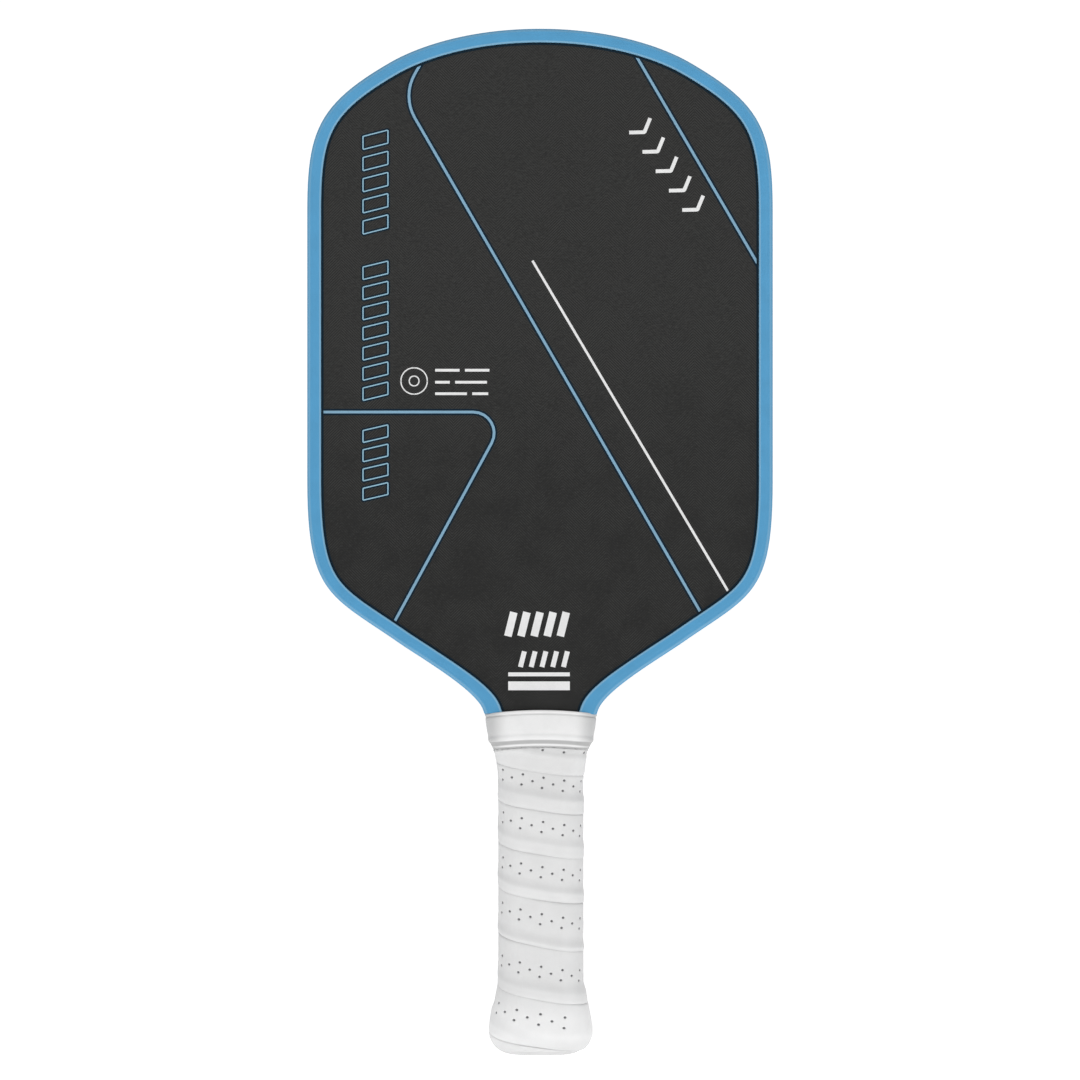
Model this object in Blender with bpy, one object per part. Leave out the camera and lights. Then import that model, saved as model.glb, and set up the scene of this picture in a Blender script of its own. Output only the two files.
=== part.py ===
"""Pickleball paddle: honeycomb core, two face sheets, an edge guard and a taped handle.

The paddle stands upright on its butt end. +Z runs up the handle to the tip, the front face
looks towards -Y, and the origin is the centre of the butt end. Lengths are in metres.
"""

import math

import bmesh
import bpy
from mathutils import Vector
from mathutils.geometry import interpolate_bezier

MM = 0.001

# Overall sizes.
LENGTH = 419.1 * MM
WIDTH = 190.5 * MM
HANDLE_LENGTH = 140.2 * MM  # butt end to the middle of the collar's upper edge
BODY_THICKNESS = 16.5 * MM  # over both face sheets
CLEARANCE = 0.3 * MM  # between pieces that touch, and where glue fills a joint

# Outline of the head, taken at the edge guard's outer surface. A reach is the length of a
# Bezier handle, and a slope is an angle from the horizontal.
CROWN_HEIGHT = 74.9 * MM  # tip down to the straight sides
CORNER_IN = 34.1 * MM  # side in to the upper corner's first point
CORNER_DROP = 13.7 * MM  # tip down to the same point
CORNER_SLOPE = math.radians(29.9)
TIP_REACH = 29.8 * MM
CORNER_UPPER_REACH = 12.1 * MM
CORNER_LOWER_REACH = 33.9 * MM
SIDE_UPPER_REACH = 31.6 * MM
FLANK_IN = 37.4 * MM  # side in to the middle of the slanting flank
FLANK_HEIGHT = 26.9 * MM  # the same point, above the neck
FLANK_SLOPE = math.radians(34.8)
SIDE_HEIGHT = 93.9 * MM  # neck up to the straight sides
SIDE_LOWER_REACH = 46.8 * MM
FLANK_UPPER_REACH = 34.8 * MM
FLANK_LOWER_REACH = 10.7 * MM
NECK_WIDTH = 47.7 * MM
NECK_SLOPE = math.radians(71.5)
NECK_REACH = 8.7 * MM
NECK_TAIL = 12 * MM  # straight stretch of the outline that the collar's edge trims
CROWN_STEPS = 7
SHOULDER_STEPS = 9
NECK_STEPS = 4

# Edge guard: a U-shaped rim whose lips hold the faces.
GUARD_REACH = 6.85 * MM  # outer edge in to the lips' edge
GUARD_WEB = 1.3 * MM
GUARD_LIP = 1.1 * MM
GUARD_CORNER = 1.6 * MM
GUARD_LIP_CORNER = 0.4 * MM
GUARD_TAPE_THICKNESS = 0.5 * MM
GUARD_TAPE_WIDTH = 12 * MM

# Panel: the core, the foam round its edge and the two sheets.
SHEET_THICKNESS = 0.5 * MM
FOAM_WIDTH = 8 * MM
FOAM_START_HEIGHT = 6 * MM  # above the neck
CELL_PITCH = 16 * MM
CELL_WALL = 0.53 * MM
CELL_RIM = 0.6 * MM
TONGUE_WIDTH = 22 * MM
TONGUE_BOTTOM = 8 * MM
TONGUE_SHOULDER_DROP = 16.2 * MM  # collar's upper edge down to the tongue's shoulders

# Handle pallets, the two half scales glued round the tongue.
PALLET_SIDE_WALL = 4.1 * MM
PALLET_FACE_WALL = 4.85 * MM
HANDLE_CORNER = 8 * MM
THROAT_SIDE_WALL = 0.8 * MM
THROAT_FACE_WALL = 0.85 * MM
THROAT_CORNER = 2 * MM
RAMP_LENGTH = 33.4 * MM  # the stretch where the handle thins and widens to the throat
PALLET_DROP = 6.8 * MM  # collar's upper edge down to the pallets' ends

# Butt cap: a flared cup on the pallets' rebated ends.
CAP_REBATE = 1.4 * MM
CAP_HEIGHT = 30 * MM
CAP_FLOOR = 3 * MM
CAP_FLARE = 3.8 * MM
FLARE_START = 7 * MM
FLARE_END = 33 * MM
BUTT_CORNER = 6 * MM  # rounding of the grip's lower end
CAP_RIM_HEIGHT = 1.6 * MM  # the part of the cap below the grip tape
BADGE_WIDTH = 22 * MM
BADGE_DEPTH = 18 * MM
BADGE_CORNER = 6 * MM
BADGE_THICKNESS = 1 * MM

# Staples through the cap into the pallets.
STAPLE_HEIGHT = 18 * MM
STAPLE_SPAN = 8 * MM
STAPLE_WIRE = 0.9 * MM
STAPLE_LEG = 5 * MM
STAPLE_SINK = 0.3 * MM

# Grip tape, the finishing tape over its end, and the collar over both.
TAPE_THICKNESS = 1.8 * MM
TAPE_END_THICKNESS = 0.9 * MM
FINISHING_THICKNESS = 0.4 * MM
FINISHING_WIDTH = 6.2 * MM
COLLAR_HEIGHT = 12.4 * MM
COLLAR_BOW = 1.6 * MM  # how far the collar's edges drop from the middle to the sides
COLLAR_TOP_WALL = 1.55 * MM
COLLAR_TOP_FRONT_WALL = 2.1 * MM
COLLAR_LOWER_WALL = 1.2 * MM
COLLAR_TOP_CORNER = 4 * MM
COLLAR_FIT_CORNER = 0.6 * MM

# Fineness of the curved surfaces.
CORNER_STEPS = 5
RAMP_STEPS = 6
FLARE_STEPS = 7
ROUND_STEPS = 4

# Heights and depths that follow from the sizes above.
SIDE = WIDTH / 2
PANEL_INSET = GUARD_WEB + CLEARANCE + GUARD_TAPE_THICKNESS + CLEARANCE
CORE_THICKNESS = BODY_THICKNESS - 2 * SHEET_THICKNESS - 2 * CLEARANCE
GUARD_THICKNESS = BODY_THICKNESS + 2 * CLEARANCE + 2 * GUARD_LIP
TONGUE_SHOULDER = HANDLE_LENGTH - TONGUE_SHOULDER_DROP
HANDLE_DEPTH = BODY_THICKNESS + 2 * CLEARANCE + 2 * PALLET_FACE_WALL
PALLET_TOP = HANDLE_LENGTH - PALLET_DROP
PALLET_BOTTOM = CAP_FLOOR + CLEARANCE
RAMP_START = PALLET_TOP - RAMP_LENGTH
TAPE_BOTTOM = CAP_RIM_HEIGHT + CLEARANCE
COLLAR_BOTTOM = HANDLE_LENGTH - COLLAR_HEIGHT
TAPE_SHOULDER = COLLAR_BOTTOM - CLEARANCE
UP_FROM_FLAT = (math.radians(90), 0, 0)  # turns a flat XY outline into the paddle's plane


def collection(name):
    made = bpy.data.collections.new(name)
    bpy.context.scene.collection.children.link(made)
    return made


def finish(name, color, roughness, metallic=0.0):
    """A Principled material of one colour."""
    material = bpy.data.materials.new(name)
    material.use_nodes = True
    shader = material.node_tree.nodes["Principled BSDF"]
    shader.inputs["Base Color"].default_value = (*color, 1.0)
    shader.inputs["Roughness"].default_value = roughness
    shader.inputs["Metallic"].default_value = metallic
    return material


# ---------------------------------------------------------------- outline of the head


def heading(angle):
    return Vector((math.cos(angle), math.sin(angle)))


def half_outline():
    """The right half of the outer edge as (x, z) points, from the tip down past the neck."""
    tip = Vector((0, LENGTH))
    corner = Vector((SIDE - CORNER_IN, LENGTH - CORNER_DROP))
    side_top = Vector((SIDE, LENGTH - CROWN_HEIGHT))
    side_bottom = Vector((SIDE, HANDLE_LENGTH + SIDE_HEIGHT))
    flank = Vector((SIDE - FLANK_IN, HANDLE_LENGTH + FLANK_HEIGHT))
    neck = Vector((NECK_WIDTH / 2, HANDLE_LENGTH))
    level = Vector((1, 0))
    down = Vector((0, -1))
    past_corner = heading(-CORNER_SLOPE)
    down_flank = -heading(FLANK_SLOPE)
    down_neck = -heading(NECK_SLOPE)
    spans = [
        (tip, level * TIP_REACH, past_corner * CORNER_UPPER_REACH, corner, CROWN_STEPS),
        (corner, past_corner * CORNER_LOWER_REACH, down * SIDE_UPPER_REACH, side_top, SHOULDER_STEPS),
        (side_bottom, down * SIDE_LOWER_REACH, down_flank * FLANK_UPPER_REACH, flank, SHOULDER_STEPS),
        (flank, down_flank * FLANK_LOWER_REACH, down_neck * NECK_REACH, neck, NECK_STEPS),
    ]
    points = []
    for start, leave, arrive, end, steps in spans:
        curve = interpolate_bezier(start, start + leave, end - arrive, end, steps + 1)
        points += [Vector(p[:2]) for p in curve if not points or (p - points[-1]).length > CLEARANCE]
    return points + [neck + down_neck * NECK_TAIL]


def whole_outline():
    """The outer edge from the left neck, over the tip, to the right neck."""
    right = half_outline()
    left = [Vector((-p.x, p.y)) for p in reversed(right[1:])]
    return left + right


def tangents(points):
    ends = [points[0], *points, points[-1]]
    return [(after - before).normalized() for before, after in zip(ends, ends[2:])]


def inset(points, depth):
    """The points moved towards the middle of the head."""
    return [p + Vector((t.y, -t.x)) * depth for p, t in zip(points, tangents(points))]


def tongue_points(edge, grow):
    """Right side of the tongue below the head: the neck, the shoulder and the lower end."""
    side = TONGUE_WIDTH / 2 + grow
    return [edge[-2], Vector((side, TONGUE_SHOULDER)), Vector((side, TONGUE_BOTTOM - grow))]


def with_tongue(edge, grow=0.0):
    """Closes an edge line into the panel's shape, with the tongue that the handle holds."""
    right = tongue_points(edge, grow)
    left = [Vector((-p.x, p.y)) for p in reversed(right)]
    return left + edge[2:-2] + right


def panel_outline(grow=0.0):
    return with_tongue(inset(whole_outline(), PANEL_INSET - grow), grow)


def foam_ends(points):
    """Numbers of the outline points where the foam starts and stops."""
    lowest = HANDLE_LENGTH + FOAM_START_HEIGHT
    inside = [i for i, p in enumerate(points) if p.y > lowest]
    return inside[0], inside[-1]


def foam_outline():
    points = whole_outline()
    first, last = foam_ends(points)
    outer = inset(points, PANEL_INSET)[first : last + 1]
    inner = inset(points, PANEL_INSET + FOAM_WIDTH)[first : last + 1]
    return outer + inner[::-1]


def core_outline():
    """The panel's shape, stepped in along the foam."""
    points = whole_outline()
    first, last = foam_ends(points)
    outer = inset(points, PANEL_INSET)
    inner = inset(points, PANEL_INSET + FOAM_WIDTH + CLEARANCE)
    along = tangents(points)
    before = along[first] * -CLEARANCE
    after = along[last] * CLEARANCE
    edge = outer[:first] + [outer[first] + before, inner[first] + before]
    edge += inner[first : last + 1]
    edge += [inner[last] + after, outer[last] + after] + outer[last + 1 :]
    return with_tongue(edge)


def holds(outline, point):
    """Whether a closed outline goes round the point."""
    inside = False
    for a, b in zip(outline, outline[1:] + outline[:1]):
        if (a.y > point.y) != (b.y > point.y):
            crossing = a.x + (point.y - a.y) * (b.x - a.x) / (b.y - a.y)
            inside ^= crossing > point.x
    return inside


def hexagon(center, across):
    """A hexagon with two upright sides, across apart."""
    radius = across / math.sqrt(3)
    return [center + heading(math.radians(30 + 60 * k)) * radius for k in range(6)]


def cells(outline):
    """The whole honeycomb cells that fit inside an outline."""
    row_height = CELL_PITCH * math.sqrt(3) / 2
    found = []
    for row in range(1, math.ceil(LENGTH / row_height)):
        offset = (row % 2) / 2
        half = math.ceil(WIDTH / 2 / CELL_PITCH)
        for column in range(-half, half + 1):
            center = Vector(((column + offset) * CELL_PITCH, row * row_height))
            if all(holds(outline, p) for p in hexagon(center, CELL_PITCH + 2 * CELL_RIM)):
                found.append(hexagon(center, CELL_PITCH - CELL_WALL))
    return found


# ---------------------------------------------------------------- flat and swept pieces


def flat_curve(name, outlines, thickness):
    """A flat curve object in the XY plane, filled and extruded both ways."""
    curve = bpy.data.curves.new(name, "CURVE")
    curve.dimensions = "2D"
    curve.fill_mode = "BOTH"
    curve.extrude = thickness / 2
    for outline in outlines:
        spline = curve.splines.new("POLY")
        spline.points.add(len(outline) - 1)
        spline.use_cyclic_u = True
        for target, p in zip(spline.points, outline):
            target.co = (p.x, p.y, 0, 1)
    return bpy.data.objects.new(name, curve)


def as_mesh(source, group):
    """Turns a curve object into a mesh object with its caps welded."""
    bpy.context.scene.collection.objects.link(source)
    bpy.context.view_layer.update()
    graph = bpy.context.evaluated_depsgraph_get()
    mesh = bpy.data.meshes.new_from_object(source.evaluated_get(graph))
    name = source.name
    source.name = name + "_curve"
    made = bpy.data.objects.new(name, mesh)
    made.matrix_world = source.matrix_world
    bpy.data.objects.remove(source)
    work = bmesh.new()
    work.from_mesh(mesh)
    bmesh.ops.remove_doubles(work, verts=work.verts, dist=0.01 * MM)
    bmesh.ops.recalc_face_normals(work, faces=work.faces)
    work.to_mesh(mesh)
    work.free()
    group.objects.link(made)
    return made


def plate(name, outlines, thickness, y, material, group):
    """A plate in the paddle's plane, with its middle at y."""
    source = flat_curve(name, outlines, thickness)
    source.rotation_euler = UP_FROM_FLAT
    source.location.y = y
    made = as_mesh(source, group)
    made.data.materials.append(material)
    return made


def cut(target, cutter):
    cutter.hide_render = True
    cutter.display_type = "WIRE"
    modifier = target.modifiers.new(cutter.name, "BOOLEAN")
    modifier.operation = "DIFFERENCE"
    modifier.object = cutter


def arc(center, radius, start, end, steps=3):
    turns = [start + (end - start) * k / (steps - 1) for k in range(steps)]
    return [center + heading(math.radians(turn)) * radius for turn in turns]


def guard_profile():
    """The guard's section: x is the depth from its outer edge, y is across the paddle."""
    half = GUARD_THICKNESS / 2
    groove = half - GUARD_LIP
    outer = Vector((GUARD_CORNER, half - GUARD_CORNER))
    lip = Vector((GUARD_REACH - GUARD_LIP_CORNER, half - GUARD_LIP_CORNER))
    upper = arc(outer, GUARD_CORNER, 180, 90) + arc(lip, GUARD_LIP_CORNER, 90, 0)
    upper += [Vector((GUARD_REACH, groove)), Vector((GUARD_WEB, groove))]
    lower = [Vector((p.x, -p.y)) for p in reversed(upper)]
    return upper + lower


def collar_edge(x, half_width):
    """How far the collar's edges have dropped at x."""
    return COLLAR_BOW * min(abs(x) / half_width, 1.0) ** 2


def neck_cutter(group):
    """Fills the space below the collar's upper edge, to trim the guard's ends."""
    half = NECK_WIDTH / 2
    span = 2 * NECK_WIDTH
    xs = [half * k / 4 for k in range(-4, 5)]
    top = HANDLE_LENGTH + CLEARANCE
    edge = [Vector((x, top - collar_edge(x, half))) for x in xs]
    low = top - NECK_WIDTH
    outline = [Vector((-span, low)), Vector((-span, edge[0].y)), *edge]
    outline += [Vector((span, edge[-1].y)), Vector((span, low))]
    source = flat_curve("neck_cutter", [outline], 2 * GUARD_THICKNESS)
    source.rotation_euler = UP_FROM_FLAT
    return as_mesh(source, group)


def edge_guard(material, group, cutters):
    """The guard's section swept round the head, from one side of the neck to the other."""
    profile = flat_curve("guard_profile", [guard_profile()], 0)
    bpy.context.scene.collection.objects.link(profile)
    path = bpy.data.curves.new("edge_guard", "CURVE")
    path.dimensions = "2D"
    path.bevel_mode = "OBJECT"
    path.bevel_object = profile
    path.use_fill_caps = True
    points = whole_outline()
    spline = path.splines.new("POLY")
    spline.points.add(len(points) - 1)
    for target, p in zip(spline.points, points):
        target.co = (p.x, p.y, 0, 1)
    source = bpy.data.objects.new("edge_guard", path)
    source.rotation_euler = UP_FROM_FLAT
    made = as_mesh(source, group)
    bpy.data.objects.remove(profile)
    made.data.materials.append(material)
    cut(made, neck_cutter(cutters))


# ---------------------------------------------------------------- handle pieces


def smooth_share(value, low, high):
    """0 below low, 1 above high, and a smooth rise between."""
    share = min(max((value - low) / (high - low), 0.0), 1.0)
    return share * share * (3 - 2 * share)


def between(first, second, share):
    return tuple(a + (b - a) * share for a, b in zip(first, second))


def grown(section, amount):
    """A section with every side moved out. It is (half width, half depth, corner)."""
    return tuple(size + amount for size in section)


def panel_half_width(z):
    """Half the panel's width, from the tongue's shoulders to the guard's ends."""
    neck = inset(whole_outline(), PANEL_INSET)[-2]
    share = (z - TONGUE_SHOULDER) / (neck.y - TONGUE_SHOULDER)
    return TONGUE_WIDTH / 2 + (neck.x - TONGUE_WIDTH / 2) * share


def bare_section(z):
    """Section of the glued pallets."""
    handle_width = TONGUE_WIDTH / 2 + CLEARANCE + PALLET_SIDE_WALL
    handle = (handle_width, HANDLE_DEPTH / 2, HANDLE_CORNER)
    throat_width = panel_half_width(PALLET_TOP) + CLEARANCE + THROAT_SIDE_WALL
    throat_depth = BODY_THICKNESS / 2 + CLEARANCE + THROAT_FACE_WALL
    throat = (throat_width, throat_depth, THROAT_CORNER)
    return between(handle, throat, smooth_share(z, RAMP_START, PALLET_TOP))


def flared_section(z):
    """Section of what the tape lies on: the pallets, or the cap's flare and rounded end."""
    flare = CAP_FLARE * (1 - smooth_share(z, FLARE_START, FLARE_END))
    gap = max(BUTT_CORNER - z, 0.0)
    rounding = BUTT_CORNER - math.sqrt(BUTT_CORNER**2 - gap**2)
    return grown(bare_section(z), flare - rounding)


def skin_section(z):
    """Section of the grip's outer surface."""
    return grown(flared_section(z), CLEARANCE + TAPE_THICKNESS)


def ring(section, z, bow=0.0):
    """A rounded rectangle of points at a height, its sides dropped by bow."""
    half_width, half_depth, corner = section
    points = []
    for quarter in range(4):
        start = math.radians(90 * quarter)
        right = 1 if quarter in (0, 3) else -1
        back = 1 if quarter in (0, 1) else -1
        for k in range(CORNER_STEPS + 1):
            turn = start + math.radians(90) * k / CORNER_STEPS
            x = right * (half_width - corner) + corner * math.cos(turn)
            y = back * (half_depth - corner) + corner * math.sin(turn)
            points.append(Vector((x, y, z - bow * (x / half_width) ** 2)))
    return points


def loft(name, rings, material, group, sleeve=False):
    """A skin through rings of points: capped at both ends, or closed on itself as a sleeve."""
    work = bmesh.new()
    rows = [[work.verts.new(p) for p in points] for points in rings]
    pairs = list(zip(rows, rows[1:]))
    if sleeve:
        pairs.append((rows[-1], rows[0]))
    else:
        work.faces.new(rows[0])
        work.faces.new(rows[-1])
    for lower, upper in pairs:
        for k in range(len(lower)):
            after = (k + 1) % len(lower)
            work.faces.new((lower[k], lower[after], upper[after], upper[k]))
    bmesh.ops.recalc_face_normals(work, faces=work.faces)
    mesh = bpy.data.meshes.new(name)
    work.to_mesh(mesh)
    work.free()
    made = bpy.data.objects.new(name, mesh)
    if material:
        mesh.materials.append(material)
    group.objects.link(made)
    return made


def steps(start, end, count):
    return [start + (end - start) * k / count for k in range(count + 1)]


def ramp_heights():
    return steps(RAMP_START, PALLET_TOP, RAMP_STEPS)


def staple_outline(grow=0.0):
    """A staple on the right side, seen from above: x points out of the handle."""
    crown = flared_section(STAPLE_HEIGHT)[0] - STAPLE_SINK + grow
    inner = crown - STAPLE_WIRE - 2 * grow
    tip = crown - STAPLE_LEG - 2 * grow
    half = STAPLE_SPAN / 2 + grow
    gap = half - STAPLE_WIRE - 2 * grow
    side = [(crown, half), (tip, half), (tip, gap), (inner, gap)]
    upper = [Vector(p) for p in side]
    return upper + [Vector((p.x, -p.y)) for p in reversed(upper)]


def staple(name, side, group, grow=0.0):
    """One staple through a narrow side of the cap. side is 1 on the right and -1 on the left."""
    outline = [Vector((side * p.x, p.y)) for p in staple_outline(grow)]
    source = flat_curve(name, [outline], STAPLE_WIRE + 2 * grow)
    source.location.z = STAPLE_HEIGHT
    return as_mesh(source, group)


def pallet(name, side, material, group, cutters, slots):
    """One scale of the handle. side is -1 in front and 1 behind."""
    shoulder = CAP_HEIGHT + CLEARANCE
    rings = [
        ring(grown(bare_section(z), -CAP_REBATE), z) for z in (PALLET_BOTTOM, shoulder)
    ]
    rings += [ring(bare_section(z), z) for z in (shoulder, *ramp_heights())]
    made = loft(name, rings, material, group)
    outline = [Vector((x, z)) for x, z in ((-WIDTH, 0), (WIDTH, 0), (WIDTH, LENGTH), (-WIDTH, LENGTH))]
    other_half = flat_curve(name + "_half_cutter", [outline], HANDLE_DEPTH)
    other_half.rotation_euler = UP_FROM_FLAT
    other_half.location.y = -side * (HANDLE_DEPTH - CLEARANCE) / 2
    channel = flat_curve(name + "_channel_cutter", [panel_outline(CLEARANCE)], BODY_THICKNESS + 2 * CLEARANCE)
    channel.rotation_euler = UP_FROM_FLAT
    for cutter in (as_mesh(other_half, cutters), as_mesh(channel, cutters), *slots):
        cut(made, cutter)


def butt_cap(material, group, slots):
    """A cup from its badge recess, round the flared outside and down the inside."""
    badge = (BADGE_WIDTH / 2, BADGE_DEPTH / 2, BADGE_CORNER)
    recess = grown(badge, CLEARANCE)
    rings = [ring(recess, BADGE_THICKNESS + CLEARANCE), ring(recess, 0)]
    rings += [ring(skin_section(z), z) for z in steps(0, CAP_RIM_HEIGHT, ROUND_STEPS)]
    heights = steps(CAP_RIM_HEIGHT, BUTT_CORNER, ROUND_STEPS) + steps(FLARE_START, CAP_HEIGHT, FLARE_STEPS)
    rings += [ring(flared_section(z), z) for z in heights]
    inside = grown(bare_section(CAP_HEIGHT), CLEARANCE - CAP_REBATE)
    rings += [ring(inside, CAP_HEIGHT), ring(inside, CAP_FLOOR)]
    made = loft("butt_cap", rings, material, group)
    for cutter in slots:
        cut(made, cutter)


def badge(material, group):
    section = (BADGE_WIDTH / 2, BADGE_DEPTH / 2, BADGE_CORNER)
    loft("butt_cap_badge", [ring(section, 0), ring(section, BADGE_THICKNESS)], material, group)


def grip_tape(material, group):
    """A sleeve over the cap and the pallets, thinned where the finishing tape holds it."""
    rounded = steps(TAPE_BOTTOM, BUTT_CORNER, ROUND_STEPS)
    flare = steps(FLARE_START, FLARE_END, FLARE_STEPS)
    ramp = [z for z in ramp_heights() if z < TAPE_SHOULDER - COLLAR_BOW]
    outer = [ring(skin_section(z), z) for z in (*rounded, *flare, *ramp)]
    outer.append(ring(skin_section(TAPE_SHOULDER), TAPE_SHOULDER, COLLAR_BOW))
    thin = CLEARANCE + TAPE_END_THICKNESS
    outer.append(ring(grown(bare_section(TAPE_SHOULDER), thin), TAPE_SHOULDER, COLLAR_BOW))
    outer.append(ring(grown(bare_section(PALLET_TOP), thin), PALLET_TOP))
    lower = reversed(rounded + flare + ramp)
    heights = (PALLET_TOP, TAPE_SHOULDER, *lower)
    inner = [ring(grown(flared_section(z), CLEARANCE), z) for z in heights]
    loft("grip_tape", outer + inner, material, group, sleeve=True)


def finishing_section(z):
    return grown(bare_section(z), CLEARANCE + TAPE_END_THICKNESS + CLEARANCE)


def finishing_tape(material, group):
    low = PALLET_TOP - FINISHING_WIDTH
    heights = (low, PALLET_TOP)
    outer = [ring(grown(finishing_section(z), FINISHING_THICKNESS), z) for z in heights]
    inner = [ring(finishing_section(z), z) for z in reversed(heights)]
    loft("finishing_tape", outer + inner, material, group, sleeve=True)


def collar(material, group):
    """A rubber ring that hides the tape's end and fits the panel at its upper edge."""
    half_width = panel_half_width(HANDLE_LENGTH) + CLEARANCE
    half_depth = BODY_THICKNESS / 2 + CLEARANCE
    over_tape = FINISHING_THICKNESS + CLEARANCE
    inside = [
        ((half_width, half_depth, COLLAR_FIT_CORNER), HANDLE_LENGTH),
        (grown(finishing_section(PALLET_TOP), over_tape), PALLET_TOP + COLLAR_BOW + CLEARANCE),
        (grown(finishing_section(COLLAR_BOTTOM), over_tape), COLLAR_BOTTOM),
    ]
    top = (half_width + COLLAR_TOP_WALL, half_depth + COLLAR_TOP_FRONT_WALL, COLLAR_TOP_CORNER)
    outside = [(grown(section, COLLAR_LOWER_WALL), z) for section, z in reversed(inside[1:])]
    outside.append((top, HANDLE_LENGTH))
    rings = [ring(section, z, COLLAR_BOW) for section, z in outside + inside]
    loft("collar", rings, material, group, sleeve=True)


# ---------------------------------------------------------------- the paddle


def build():
    for obj in list(bpy.data.objects):
        bpy.data.objects.remove(obj)
    parts = collection("pickleball_paddle")
    cutters = collection("cutters")

    polymer = finish("core_polymer", (0.62, 0.63, 0.6), 0.5)
    foam = finish("edge_foam", (0.85, 0.84, 0.78), 0.8)
    carbon = finish("carbon_face", (0.03, 0.03, 0.031), 0.55)
    guard_blue = finish("guard_blue", (0.09, 0.33, 0.56), 0.35)
    adhesive = finish("adhesive", (0.75, 0.72, 0.6), 0.6)
    pallet_foam = finish("pallet_foam", (0.12, 0.12, 0.12), 0.7)
    cap_white = finish("cap_white", (0.8, 0.8, 0.8), 0.4)
    steel = finish("staple_steel", (0.6, 0.6, 0.6), 0.3, 1.0)
    grip_white = finish("grip_white", (0.73, 0.73, 0.73), 0.45)
    rubber = finish("collar_rubber", (0.82, 0.82, 0.82), 0.5)

    core = core_outline()
    plate("honeycomb_core", [core, *cells(core)], CORE_THICKNESS, 0, polymer, parts)
    plate("perimeter_foam", [foam_outline()], CORE_THICKNESS, 0, foam, parts)
    sheet_y = (BODY_THICKNESS - SHEET_THICKNESS) / 2
    plate("front_face_sheet", [panel_outline()], SHEET_THICKNESS, -sheet_y, carbon, parts)
    plate("back_face_sheet", [panel_outline()], SHEET_THICKNESS, sheet_y, carbon, parts)

    points = whole_outline()
    tape_out = inset(points, GUARD_WEB + CLEARANCE)[1:-1]
    tape_in = inset(points, GUARD_WEB + CLEARANCE + GUARD_TAPE_THICKNESS)[1:-1]
    strip = tape_out + tape_in[::-1]
    plate("edge_guard_tape", [strip], GUARD_TAPE_WIDTH, 0, adhesive, parts)
    edge_guard(guard_blue, parts, cutters)

    slots = []
    for side, word in ((-1, "left"), (1, "right")):
        staple("butt_cap_staple_" + word, side, parts).data.materials.append(steel)
        slots.append(staple("slot_cutter_" + word, side, cutters, CLEARANCE))
    pallet("handle_pallet_front", -1, pallet_foam, parts, cutters, slots)
    pallet("handle_pallet_back", 1, pallet_foam, parts, cutters, slots)
    butt_cap(cap_white, parts, slots)
    badge(cap_white, parts)
    grip_tape(grip_white, parts)
    finishing_tape(cap_white, parts)
    collar(rubber, parts)


build()
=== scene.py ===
# %% [markdown]
# # A pickleball paddle
# A paddle is a thin stiff panel with a handle glued round its tongue. What you see of it is few
# pieces: two carbon faces, a blue rubber guard pressed over the rim, a white grip tape wound up
# the handle, and a rubber collar that hides the tape's end. The solid parts come in as a fixed
# frame. This lesson gives each visible piece its real surface.

# %% Load the frame
import math

import bmesh
import bpy
import numpy as np
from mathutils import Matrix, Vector


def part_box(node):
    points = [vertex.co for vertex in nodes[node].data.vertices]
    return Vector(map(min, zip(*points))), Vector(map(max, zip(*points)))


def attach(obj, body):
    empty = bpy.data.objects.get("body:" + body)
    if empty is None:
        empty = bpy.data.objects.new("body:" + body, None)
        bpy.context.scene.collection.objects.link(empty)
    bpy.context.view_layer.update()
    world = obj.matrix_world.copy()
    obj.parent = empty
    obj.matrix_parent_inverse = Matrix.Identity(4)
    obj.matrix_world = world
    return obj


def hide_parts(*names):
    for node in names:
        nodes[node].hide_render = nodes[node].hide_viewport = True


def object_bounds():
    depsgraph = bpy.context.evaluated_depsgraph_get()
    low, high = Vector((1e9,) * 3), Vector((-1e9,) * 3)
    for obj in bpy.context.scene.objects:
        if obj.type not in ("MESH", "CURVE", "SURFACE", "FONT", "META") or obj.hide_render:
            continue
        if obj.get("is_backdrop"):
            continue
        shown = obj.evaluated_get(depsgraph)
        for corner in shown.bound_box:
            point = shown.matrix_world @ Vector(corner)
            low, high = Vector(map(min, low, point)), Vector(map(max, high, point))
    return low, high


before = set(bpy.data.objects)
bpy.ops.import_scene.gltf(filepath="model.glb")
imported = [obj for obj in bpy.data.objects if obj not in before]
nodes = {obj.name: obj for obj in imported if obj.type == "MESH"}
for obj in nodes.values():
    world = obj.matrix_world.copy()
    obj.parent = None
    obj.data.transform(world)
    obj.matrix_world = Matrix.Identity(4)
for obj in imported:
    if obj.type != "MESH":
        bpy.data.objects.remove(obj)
cad_low, cad_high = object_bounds()
bpy.ops.object.select_all(action="DESELECT")
MM = 0.001
print("frame:", sorted(nodes), [round(v / MM, 1) for v in cad_high - cad_low])

# %% [markdown]
# ## Camera
# The paddle is seen square on, from far enough away that its sides hardly lean. A long lens a
# little over a metre away does that. It looks along +Y, at half the paddle's height.

# %% Make the camera
camera_data = bpy.data.cameras.new("camera")
camera_data.lens = 97.11
camera_data.sensor_width = 36
camera = bpy.data.objects.new("camera", camera_data)
camera.location = (0, -1.2, 0.2099)
camera.rotation_euler = (math.radians(90), 0, 0)
bpy.context.scene.collection.objects.link(camera)
bpy.context.scene.camera = camera
print("camera at", list(camera.location), "lens", camera_data.lens)

# %% [markdown]
# ## Light
# A white product is lit softly from all round. A dim white world does half of it, and shows as
# pure white behind the paddle. A large soft panel at the upper left and a weaker one at the right do
# the rest, so that rounded pieces turn darker towards their edges. A third one lights the back.

# %% Light the studio
scene = bpy.context.scene
scene.view_settings.view_transform = "Standard"
world = bpy.data.worlds.new("studio")
world.use_nodes = True
scene.world = world


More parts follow.
